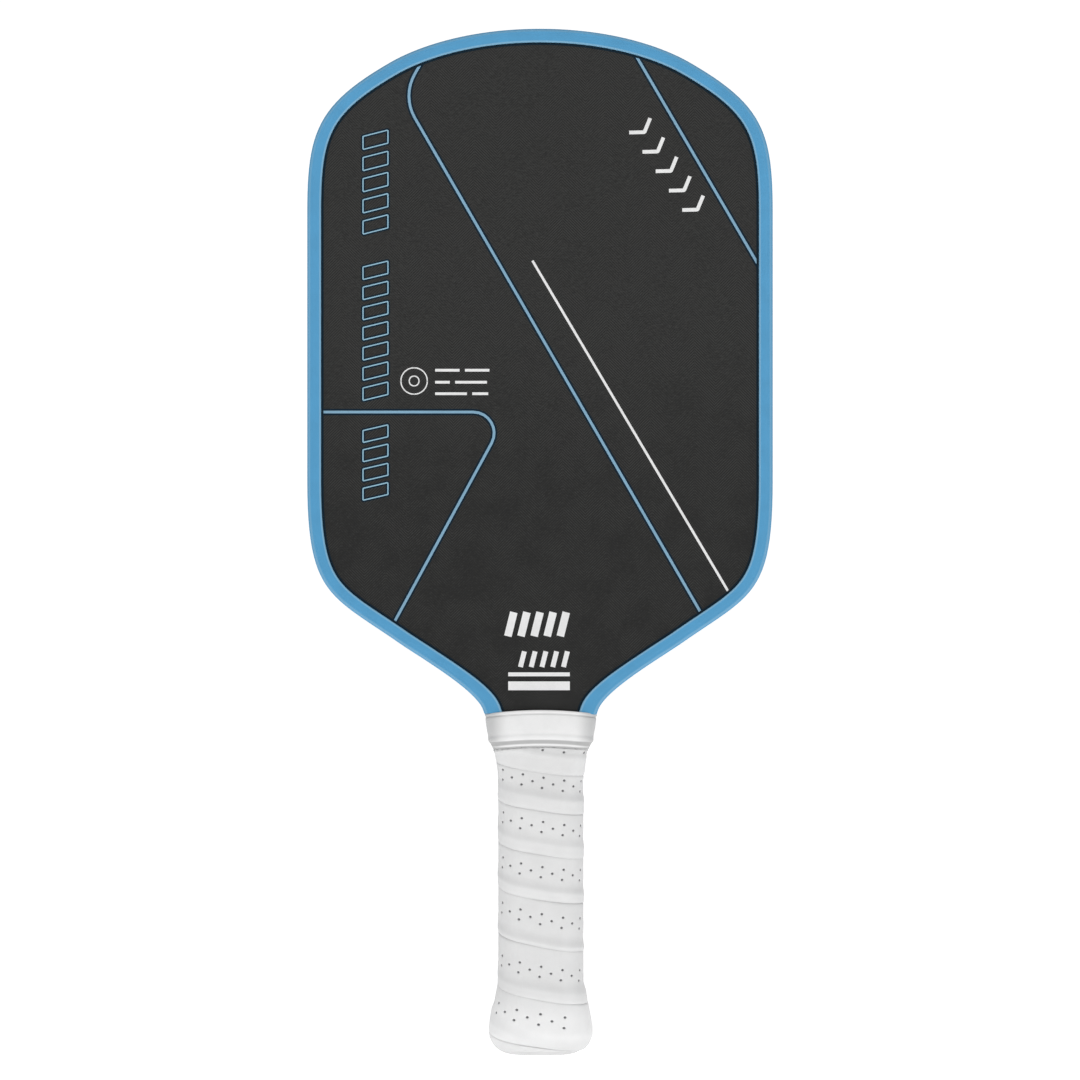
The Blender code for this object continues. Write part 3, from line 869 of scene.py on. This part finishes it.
# %% [markdown]
# ## The handle's section
# Everything on the handle goes round the same rounded rectangle. It is widest at the butt, straight
# for most of its length, and above that it grows wide and thin towards the throat. One function
# gives the section at a height, and another walks round it. They work on arrays, so a whole mesh
# goes through them at once.

# %% Describe the handle
BARE = (15.4 * MM, 13.4 * MM, 8 * MM)
THROAT = (17.95 * MM, 9.4 * MM, 2 * MM)
RAMP_START = 100 * MM
PALLET_TOP = 133.4 * MM
CAP_FLARE = 4.0 * MM
FLARE_FROM = 6 * MM
FLARE_TO = 32 * MM
BUTT_ROUND = 10 * MM
BUTT_CUT = 0.8 * MM
TAPE_SKIN = 2.1 * MM


def handle_section(z, amount=0.0):
    """Half width, half depth and corner under the tape at height z, with every side moved out."""
    share = rise(z, RAMP_START, PALLET_TOP)
    flare = CAP_FLARE * (1 - rise(z, FLARE_FROM, FLARE_TO))
    rounded = BUTT_ROUND - BUTT_CUT
    gap = np.clip(rounded - z, 0, rounded)
    rounding = BUTT_ROUND - np.sqrt(BUTT_ROUND**2 - gap**2)
    return [a + (b - a) * share + flare - rounding + amount for a, b in zip(BARE, THROAT)]


def around(turn, half_width, half_depth, corner):
    """x and y at a share of the way round: from the middle of the front to the left, and on."""
    wide = half_width - corner
    deep = half_depth - corner
    quarter = corner * math.pi / 2
    total = 4 * wide + 4 * deep + 4 * quarter
    s = (turn % 1) * total
    right = s > total / 2
    s = np.where(right, total - s, s)
    back = s > total / 4
    s = np.where(back, total / 2 - s, s)
    angle = np.clip((s - wide) / corner, 0, math.pi / 2)
    x = -np.minimum(s, wide) - corner * np.sin(angle)
    y = -deep - corner * np.cos(angle) + np.maximum(s - wide - quarter, 0)
    return np.where(right, -x, x), np.where(back, -y, y)


skin = handle_section(60 * MM, TAPE_SKIN)
PERIMETER = 4 * (skin[0] + skin[1]) - (8 - math.tau) * skin[2]
print("round the grip:", round(PERIMETER / MM, 1), "mm")

# %% [markdown]
# ## The grip tape
# The grip is one long strip of cushioned tape, punched with three rows of small holes along its
# middle. It starts at the butt and winds up the handle, and each turn lies over the edge of the one
# before. So it is modelled as it is made: a flat strip first, with its holes sunk in, and then it is
# wound. The flat strip is a grid. Its rows are close together at the edges and where the holes are.

# %% Cut the flat strip
TAPE_ROWS = (0, 0.3, 0.9, 2.0, 3.6, 5.2, 6.8, 8.3, 10.4, 12.5, 14.6, 16.2, 17.8, 19.4, 21, 22.2, 22.7, 23)
TAPE_WIDTH = TAPE_ROWS[-1] * MM
TAPE_THICK = 1.2 * MM
COLUMN = 2.2 * MM
HOLE_PITCH = 4
FIRST_TURN = -1.08
LAST_TURN = 7.2
HOLES_FROM = -0.1
columns = round((LAST_TURN - FIRST_TURN) * PERIMETER / COLUMN)
rows = len(TAPE_ROWS) - 1
bpy.ops.object.select_all(action="DESELECT")
bpy.ops.mesh.primitive_grid_add(x_subdivisions=columns, y_subdivisions=rows, size=1)
tape = bpy.context.object
flat = points_of(tape)
flat[:, 0] = (flat[:, 0] + 0.5) * columns * COLUMN
flat[:, 1] = np.interp(flat[:, 1] + 0.5, np.linspace(0, 1, rows + 1), np.array(TAPE_ROWS) * MM)
move_points(tape, flat)
pick(tape, "FACE", lambda f: True)
bpy.ops.mesh.extrude_region_move(TRANSFORM_OT_translate={"value": (0, 0, TAPE_THICK)})
bpy.ops.mesh.select_all(action="SELECT")
bpy.ops.mesh.normals_make_consistent(inside=False)
print("strip", round(columns * COLUMN / MM), "mm long,", len(tape.data.polygons), "faces at first")

# %% Punch the holes
HOLES_MIDDLE = 11.45
HOLE_ROWS = {HOLES_MIDDLE - 2.1: 0, HOLES_MIDDLE: 2, HOLES_MIDDLE + 2.1: 0}
HOLE_INSET = 0.43 * MM
HOLE_WALL = 0.12 * MM
HOLE_DEPTH = 0.5 * MM


def holds_hole(face):
    """Whether a face of the strip's upper side gets a hole."""
    center = face.calc_center_median()
    if face.normal.z < 0.5 or center.z < TAPE_THICK / 2:
        return False
    if center.x < (HOLES_FROM - FIRST_TURN) * PERIMETER:
        return False
    offsets = [shift for row, shift in HOLE_ROWS.items() if abs(center.y - row * MM) < 0.5 * MM]
    return bool(offsets) and int(center.x / COLUMN) % HOLE_PITCH == offsets[0]


holes = pick(tape, "FACE", holds_hole)
bpy.ops.mesh.inset(thickness=HOLE_INSET, depth=0, use_individual=True)
bpy.ops.mesh.inset(thickness=HOLE_WALL, depth=-HOLE_DEPTH, use_individual=True)
bpy.ops.object.mode_set(mode="OBJECT")
subdivide_smooth(tape, 1)
print("holes", holes, "faces", len(tape.data.polygons))

# %% [markdown]
# Winding is a move of every point: its place along the strip is how far round it is, and its place
# across is how high it stands above the seam. The strip climbs, so its rows of holes lean with it.
# Where a turn lies on the one before it stands out, and falls back in above the covered edge. Where
# the next turn will cover it, it dips under. By hand no turn is perfect, so each wavers slightly.

# %% Plan the winding
SEAMS = (-15.0, 3.7, 22.8, 44.3, 63.4, 81.8, 99.5, 115.1, 129.5, 144.0)
LAP_LIFT = 0.22 * MM
SMILE = 4.2 * MM
TAPE_ASIDE = 0.35 * MM
COLLAR_BOTTOM = HANDLE_LENGTH - 12.4 * MM
COLLAR_BOW = 1.6 * MM
COLLAR_SKIRT = 2.4 * MM


def seam_height(turn):
    """Height of the strip's lower edge, as a smooth curve through its crossings of the front."""
    heights = np.array(SEAMS) * MM
    heights = np.concatenate([[2 * heights[0] - heights[1]], heights, [2 * heights[-1] - heights[-2]]])
    at_knot = np.clip(np.floor(turn + 1).astype(int), 0, len(SEAMS) - 2)
    t = turn + 1 - at_knot
    a, b, c, d = (heights[at_knot + k] for k in range(4))
    return b + 0.5 * t * (c - a + t * (2 * a - 5 * b + 4 * c - d + t * (3 * (b - c) + d - a)))


def waver(turn, size):
    """The small unevenness of winding by hand."""
    waves = np.sin(turn * 9.1 + 0.7) + 0.6 * np.sin(turn * 17.3 + 2.1) + 0.4 * np.sin(turn * 31.7)
    return waves * size / 2


print("seams cross the front at", SEAMS[1:-1])

# %% Shape each turn
SLANT = 0.16
RIDGE = 0.1 * MM
VALLEY = 0.12 * MM
DIP = 1.0 * MM
WAIST = 0.75 * MM
flat = points_of(tape)
across = flat[:, 1]
slanted = flat[:, 0] + (TAPE_WIDTH / 2 - across) * SLANT
turn = FIRST_TURN + slanted / PERIMETER
depth = flat[:, 2] - TAPE_THICK
climb = seam_height(turn + 1) - seam_height(turn)
climbed = seam_height(turn) - seam_height(turn - 1)
lap = np.where(turn < 0.0, 0.0, TAPE_WIDTH - climbed)
lap = lap * rise(turn, 0.0, 0.12)
edge = 0.3 + 0.7 * rise(across, 0, 1.3 * MM)
lift = LAP_LIFT * rise(lap, 0, 2 * MM) * edge * (1 - rise(across, lap - 0.3 * MM, lap + 3.4 * MM))
ridge = RIDGE * np.exp(-(((across - lap) / (0.8 * MM)) ** 2))
valley = VALLEY * np.exp(-(((across - lap - 4.2 * MM) / (1.6 * MM)) ** 2))
dip = DIP * rise(across, climb - 0.25 * MM, climb + 0.8 * MM)
body = rise(across, 0, 4 * MM) * rise(TAPE_WIDTH - across, 0, 4 * MM)
depth = depth * (0.45 + 0.55 * body)
z = seam_height(turn) + across + waver(turn, 0.25 * MM) + SMILE * (1 - np.cos(math.tau * turn)) / 2
out = lift + ridge - valley - dip + waver(turn * 1.3 + across / (9 * MM), 0.03 * MM)
out -= WAIST * rise(z, 103 * MM, 112 * MM) * (1 - rise(z, 121 * MM, 130 * MM))
print("turns stand out by up to", round(out.max() / MM, 2), "mm")

# %% Wind the strip
x_here, _ = around(turn, *handle_section(z, TAPE_SKIN))
collar_edge = COLLAR_BOTTOM - COLLAR_SKIRT - COLLAR_BOW * (x_here / (21.5 * MM)) ** 2
under_collar = rise(z, collar_edge - 1.6 * MM, collar_edge - 0.2 * MM)
tucked = rise(z, collar_edge - 0.3 * MM, collar_edge + 0.3 * MM)
out = TAPE_SKIN + out * (1 - under_collar) - 0.95 * MM * tucked
depth = depth * (1 - 0.4 * tucked)
x, y = around(turn, *handle_section(z, out + depth))
move_points(tape, np.stack([x + TAPE_ASIDE, y, z], axis=1))
print("wound", round(LAST_TURN - FIRST_TURN, 2), "turns, to z", round(z.max() / MM, 1))

# %% Mark the strip for its finish
# Painted light and shade in the tape's colour: the raised band over each lap lighter, the hollow and the
# shallow dip above it darker, the flaring butt lighter, and the lowest few millimetres darker.
strength = 0.65 + 0.2 * np.sin(turn * 4.3 + 1.0) + 0.15 * np.sin(turn * math.tau + 4.0)
strength = strength * rise(turn, 0.6, 1.0)
raised = rise(across, 0.2 * MM, 1.0 * MM) * (1 - rise(across, lap - 0.6 * MM, lap + 0.4 * MM))
hollow = np.exp(-(((across - lap - 1.5 * MM) / (1.3 * MM)) ** 2))
shallow = rise(across, lap, lap + 1 * MM) * (1 - rise(across, lap + 2 * MM, lap + 9 * MM))
relief = 0.41 + (0.15 * raised - 0.2 * hollow - 0.08 * shallow) * strength
relief += 0.48 * (1 - rise(z, 14 * MM, 30 * MM)) * rise(z, 3.5 * MM, 9 * MM)
relief -= 0.22 * (1 - rise(z, 1.5 * MM, 4 * MM))
# How deep a point sits in a hole, for the painted shade there.
sunk = rise(TAPE_THICK - flat[:, 2], 0.12 * MM, 0.4 * MM)
near_holes = abs(across - HOLES_MIDDLE * MM) < 3.4 * MM
mark_points(tape, "across", across)
mark_points(tape, "to_seam", climb - across)
mark_points(tape, "hole", sunk * near_holes)
mark_points(tape, "relief", relief)
print("relief from", round(relief.min(), 2), "to", round(relief.max(), 2))

# %% Trim both ends
TAPE_LOW = 1.9 * MM
pick(tape, "FACE", lambda f: True)
for height, way in ((TAPE_LOW, -1), (PALLET_TOP, 1)):
    cut_off((0, 0, height), (0, 0, way))
    bpy.ops.mesh.select_all(action="SELECT")
bpy.ops.mesh.normals_make_consistent(inside=False)
bpy.ops.object.mode_set(mode="OBJECT")
print("trimmed:", len(tape.data.polygons), "faces")

# %% [markdown]
# The tape is white polyurethane with a fine dry grain. Its colour carries painted shade: dark in the
# holes, a grey line along each seam, where one turn lies over the next, and duller in the hollow above
# each lap. The band over each lap and the flaring butt are painted lighter.

# %% Finish the tape
GRIP_WHITE = (0.70, 0.70, 0.70)
grip = Finish("grip_white", 0.5, specular=0.4)
grain = grip.noise(0.45 * MM, 3.0, roughness=0.6)
clean = grip.attribute("across").between(0, 0.35 * MM)
open_side = grip.attribute("to_seam").between(0, 0.8 * MM)
# Painted shade: a grey line on both sides of each seam, in the crease where one turn lies over the next, and
# dark in the holes.
seam_dirt = (1 - clean) * 0.35 + (1 - open_side) * 0.35
pits = grip.attribute("hole")
dark = (seam_dirt + pits * 1.6).between(0, 1.6)
# The relief marks lighten and darken the white as painted light and shade.
level = grip.attribute("relief") * 0.88 + grip.mottle(grain, 6 * MM) * 0.1
plain = level.blend(shade(GRIP_WHITE, 0.83), shade(GRIP_WHITE, 1.3))
grip.wire(base_color=dark.blend(plain, (0.14, 0.14, 0.145, 1)))
grip.wire(roughness=grain * 0.2 + 0.42)
grip.bump(grain, 0.05 * MM, 0.5)
complete(tape, "grip_tape_wound", grip, "grip_tape", slot="grip_white", angle=60)

# %% [markdown]
# ## The collar
# A short rubber sleeve covers the tape's end and meets the guard. It starts as a box without ends,
# whose upright edges are beveled. Then its open rims are extruded ring by ring: a bead at the top
# with a groove below it, and a lip at the bottom that rolls in to the tape. Its edges are lower at the
# sides than in the middle. Its curved sides, the fold under its lip and the groove below its bead are
# painted darker: painted shade.


# %% Build a sleeve
def sleeve(name, half_width, half_depth, corner, low, high, segments=6, cuts=7):
    """A box with rounded upright edges and no ends."""
    bpy.ops.object.select_all(action="DESELECT")
    bpy.ops.mesh.primitive_cube_add(size=2, location=(0, 0, (low + high) / 2))
    obj = bpy.context.object
    obj.scale = (half_width, half_depth, (high - low) / 2)
    obj.name = name
    settle(obj)
    pick(obj, "FACE", lambda f: abs(f.normal.z) > 0.5)
    bpy.ops.mesh.delete(type="ONLY_FACE")
    upright = 0.9 * (high - low)
    pick(obj, "EDGE", lambda e: climb_of(e) > upright)
    bpy.ops.mesh.bevel(offset=corner, segments=segments, affect="EDGES")
    pick(obj, "EDGE", lambda e: e.calc_length() > half_depth and climb_of(e) < 0.1 * MM)
    bpy.ops.mesh.subdivide(number_cuts=cuts)
    return obj


def add_rings(obj, start, rings):
    """Extrudes the open rim at height start through rings of (half width, half depth, height)."""
    for half_width, half_depth, height in rings:
        pick(obj, "EDGE", rim_at(start[2]))
        bpy.ops.mesh.extrude_region_move(TRANSFORM_OT_translate={"value": (0, 0, height - start[2])})
        ratio = (half_width / start[0], half_depth / start[1], 1)
        bpy.ops.transform.resize(value=ratio, center_override=(0, 0, height))
        start = (half_width, half_depth, height)
    return start


def bridge_rims(obj):
    """Closes the sleeve between its two open rims."""
    pick(obj, "EDGE", lambda e: e.is_boundary)
    bpy.ops.mesh.bridge_edge_loops()


print("sleeve helpers ready")

# %% Build the collar
COLLAR_ASIDE = 0.35 * MM
LOW_SIZE = (21.45 * MM, 13.1 * MM)
TOP_SIZE = (22.95 * MM, 10.7 * MM)


def collar_ring(height, out):
    """A ring of the collar at a height above its lower edge, moved out from its slanting side."""
    share = rise(height, 0, 12.4) * 0.4 + height / 12.4 * 0.6
    moves = (out, out * 0.6 if height < 1.5 else out)
    sizes = [a + (b - a) * share + move * MM for a, b, move in zip(LOW_SIZE, TOP_SIZE, moves)]
    return (*sizes, COLLAR_BOTTOM + height * MM)


first = collar_ring(1.6, 0.06)
second = collar_ring(2.2, 0.04)
collar = sleeve("collar_band", first[0], first[1], 6 * MM, first[2], second[2])
upper = [(3.0, -0.1), (3.6, -0.12), (4.8, 0), (6.6, 0.05), (8.4, 0.05), (9.8, 0), (10.5, -0.04)]
upper += [(10.85, -0.28), (11.1, -0.28), (11.4, 0.02), (11.75, 0.1), (12.3, 0.05), (12.6, -0.15)]
upper += [(12.7, -0.6), (12.5, -1.3), (11.2, -1.5)]
lower = [(1.1, 0.0), (0.7, -0.25), (0.3, -0.6), (-0.3, -0.9), (-1.0, -1.15), (-1.6, -1.35), (-2.1, -1.55)]
lower += [(-2.35, -1.75), (-2.4, -2.0), (-2.0, -2.3), (0.6, -2.1)]
second_rim = (first[0], first[1], second[2])
add_rings(collar, second_rim, [collar_ring(*ring) for ring in upper])
add_rings(collar, first, [collar_ring(*ring) for ring in lower])
bridge_rims(collar)
close_up(collar)
subdivide_smooth(collar, 2)
points = points_of(collar)
mark_points(collar, "height", (points[:, 2] - COLLAR_BOTTOM) / MM)
points[:, 2] -= COLLAR_BOW * (points[:, 0] / TOP_SIZE[0]) ** 2
points[:, 0] += COLLAR_ASIDE
move_points(collar, points)
print("collar from", round(points[:, 2].min() / MM, 1), "to", round(points[:, 2].max() / MM, 1))

# %% Finish the collar
COLLAR_WHITE = (0.83, 0.83, 0.83)
rubber = Finish("collar_rubber", 0.45, specular=0.45)
rubber_grain = rubber.noise(0.3 * MM, 2.0)
rubber_tone = rubber.mottle(rubber_grain, 5 * MM)
plain_rubber = rubber_tone.blend(shade(COLLAR_WHITE, 0.97), shade(COLLAR_WHITE, 1.02))
# Painted shade: darker towards the curved sides, in the fold under the lip, along the edge just under it,
# and in the groove below the bead.
HANDLED_FROM = 13 * MM
HANDLED_TO = 21 * MM
aside = (rubber.axis(0) - 0.6 * MM).math("ABSOLUTE")
handled = aside.between(HANDLED_FROM, HANDLED_TO) * 0.65
height = rubber.attribute("height")
under = height.between(1.0, 0.4) * height.between(-1.2, -0.6) + height.between(-1.5, -2.0)
groove = height.between(10.6, 10.9) * height.between(11.6, 11.3) * 0.5
greyed = (handled + under * 0.95 + groove).math("MINIMUM", 1.0)
rubber.wire(base_color=greyed.blend(plain_rubber, shade(COLLAR_WHITE, 0.5)))
rubber.wire(roughness=rubber_grain * 0.2 + 0.36)
rubber.bump(rubber_grain, 0.02 * MM, 0.5)
complete(collar, "collar_band", rubber, "collar", slot="collar_rubber")

# %% [markdown]
# ## The butt cap and its badge
# The cap is a plastic cup on the handle's end, under the tape. Only its rim and flat end show. A
# round-cornered badge sits in a recess in the end. The cup is built like the collar, from a sleeve
# whose rims are extruded: round the rim and across the end to the recess, and up the outside and
# down the inside to the floor.


# %% Build the butt cap
def cap_ring(z, amount):
    """A ring of the cup at a height in mm, moved out from the handle's section."""
    size = handle_section(z * MM, amount)
    return (size[0], size[1], z * MM)


BADGE = (11 * MM, 9 * MM)
RIM = 2.1
rim_outer = cap_ring(1.0, TAPE_SKIN)
rim_upper = cap_ring(RIM, TAPE_SKIN - 0.2 * MM)
cap = sleeve("butt_cap_cup", rim_outer[0], rim_outer[1], 12 * MM, rim_outer[2], rim_upper[2], 10, 9)
pick(cap, "EDGE", rim_at(rim_upper[2]))
narrower = (rim_upper[0] / rim_outer[0], rim_upper[1] / rim_outer[1], 1)
bpy.ops.transform.resize(value=narrower, center_override=(0, 0, 0))
down = [cap_ring(z, TAPE_SKIN) for z in (0.6, 0.3, 0.1, 0.0)]
down.append((down[-1][0] - 1 * MM, down[-1][1] - 1 * MM, 0.0001 * MM))
for gap, height in ((0.9, 0.0002), (0.4, 0.12), (0.3, 1.3)):
    down.append((BADGE[0] + gap * MM, BADGE[1] + gap * MM, height * MM))
last = add_rings(cap, rim_outer, down)
print("recess rim at", [round(v / MM, 2) for v in last])

# %% Close the cup
pick(cap, "EDGE", rim_at(last[2]))
bpy.ops.mesh.edge_face_add()
bpy.ops.mesh.inset(thickness=1 * MM)
up = [cap_ring(z, 0) for z in (2.11, 3, 4.5, 6, 8, 12, 18, 24, 29, 30)]
inside = (BARE[0] - 1.1 * MM, BARE[1] - 1.1 * MM)
up.append((*inside, 30.01 * MM))
up.append((*inside, 3 * MM))
add_rings(cap, rim_upper, up)
pick(cap, "EDGE", lambda e: e.is_boundary)
bpy.ops.mesh.edge_face_add()
bpy.ops.mesh.inset(thickness=1 * MM)
close_up(cap)
print("cup faces", len(cap.data.polygons))

# %% Finish the cup
plastic = Finish("cap_white", 0.36, specular=0.5)
plastic_grain = plastic.noise(0.3 * MM, 2.0)
plastic_tone = plastic.mottle(plastic_grain, 8 * MM)
plastic.wire(base_color=plastic_tone.blend((0.57, 0.57, 0.57, 1), (0.61, 0.61, 0.61, 1)))
plastic.wire(roughness=plastic_grain * 0.2 + 0.28)
plastic.bump(plastic_grain, 0.015 * MM, 0.4)
complete(cap, "butt_cap_cup", plastic, "butt_cap", slot="cap_white", angle=40)

# %% Build the badge
badge = sleeve("butt_cap_disc", BADGE[0], BADGE[1], 6 * MM, 0.25 * MM, 1.0 * MM, 8, 5)
edge_size = (BADGE[0], BADGE[1], 0.25 * MM)
add_rings(badge, edge_size, [(BADGE[0] - 0.08 * MM, BADGE[1] - 0.08 * MM, 0.1 * MM)])
pick(badge, "EDGE", lambda e: e.is_boundary and middle(e).z < 0.2 * MM)
bpy.ops.mesh.edge_face_add()
bpy.ops.mesh.inset(thickness=0.3 * MM, depth=0.08 * MM)
bpy.ops.mesh.inset(thickness=1.2 * MM)
bpy.ops.mesh.inset(thickness=0.25 * MM, depth=-0.2 * MM)
pick(badge, "EDGE", lambda e: e.is_boundary)
bpy.ops.mesh.edge_face_add()
close_up(badge)
complete(badge, "butt_cap_disc", plastic, "butt_cap_badge", slot="cap_white", angle=40)

# %% [markdown]
# ## Pieces inside
# The rest is out of sight once the paddle is together: the polymer honeycomb, the foam round it,
# the guard's tape, the two halves of the handle, their staples and the tape that holds the grip's
# end. They keep the frame's shapes and get finishes of their own.


# %% Finish the hidden pieces
def plain_finish(name, color, roughness, grain_size, depth, metallic=0.0):
    """A finish with a fine grain and a slow change of tone."""
    made = Finish(name, roughness, metallic=metallic)
    fine = made.noise(grain_size, 3.0)
    tone = made.mottle(fine, grain_size * 12, share=0.6, low=0.25, high=0.75)
    made.wire(base_color=tone.blend(shade(color, 0.88), shade(color, 1.1)))
    made.wire(roughness=fine * 0.2 + roughness - 0.1)
    made.bump(fine, depth, 0.6)
    return made


HIDDEN = (
    ("core_polymer", (0.62, 0.63, 0.6), 0.5, 0.8, 0.05, 0, ["honeycomb_core"]),
    ("edge_foam", (0.85, 0.84, 0.78), 0.8, 1.2, 0.2, 0, ["perimeter_foam"]),
    ("adhesive", (0.75, 0.72, 0.6), 0.6, 1.0, 0.05, 0, ["edge_guard_tape"]),
    ("pallet_foam", (0.12, 0.12, 0.12), 0.75, 0.9, 0.15, 0, ["handle_pallet_front", "handle_pallet_back"]),
    ("staple_steel", (0.6, 0.6, 0.6), 0.32, 0.3, 0.01, 1, ["butt_cap_staple_left", "butt_cap_staple_right"]),
)
for name, color, roughness, grain_size, depth, metallic, pieces in HIDDEN:
    finish = plain_finish(name, color, roughness, grain_size * MM, depth * MM, metallic)
    finish.paint(*(nodes[piece] for piece in pieces))
    print(name, "on", pieces)

# %% Wrap the finishing tape
BAND_LOW = 128.4 * MM
BAND_THICK = 0.3 * MM
inside = handle_section(131 * MM, 1.5 * MM)[:2]
outside = [size + BAND_THICK for size in inside]
finishing = sleeve("finishing_band", *outside, 3 * MM, BAND_LOW, PALLET_TOP)
add_rings(finishing, (*outside, PALLET_TOP), [(*inside, PALLET_TOP + 0.02 * MM)])
add_rings(finishing, (*outside, BAND_LOW), [(*inside, BAND_LOW - 0.02 * MM)])
bridge_rims(finishing)
close_up(finishing)
band_finish = plain_finish("finishing_white", (0.8, 0.8, 0.8), 0.4, 0.5 * MM, 0.02 * MM)
complete(finishing, "finishing_band", band_finish, "finishing_tape", slot="finishing_white")

# %% [markdown]
# ## The size
# The visible model's box and the frame's box are printed in millimetres. The visible model
# has to stay in the frame's box.

# %% Print the sizes
low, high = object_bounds()
sizes = {"cad": [list(cad_low), list(cad_high)], "visual": [list(low), list(high)]}
print("sizes in mm:", {k: [[round(c / MM, 2) for c in p] for p in v] for k, v in sizes.items()})
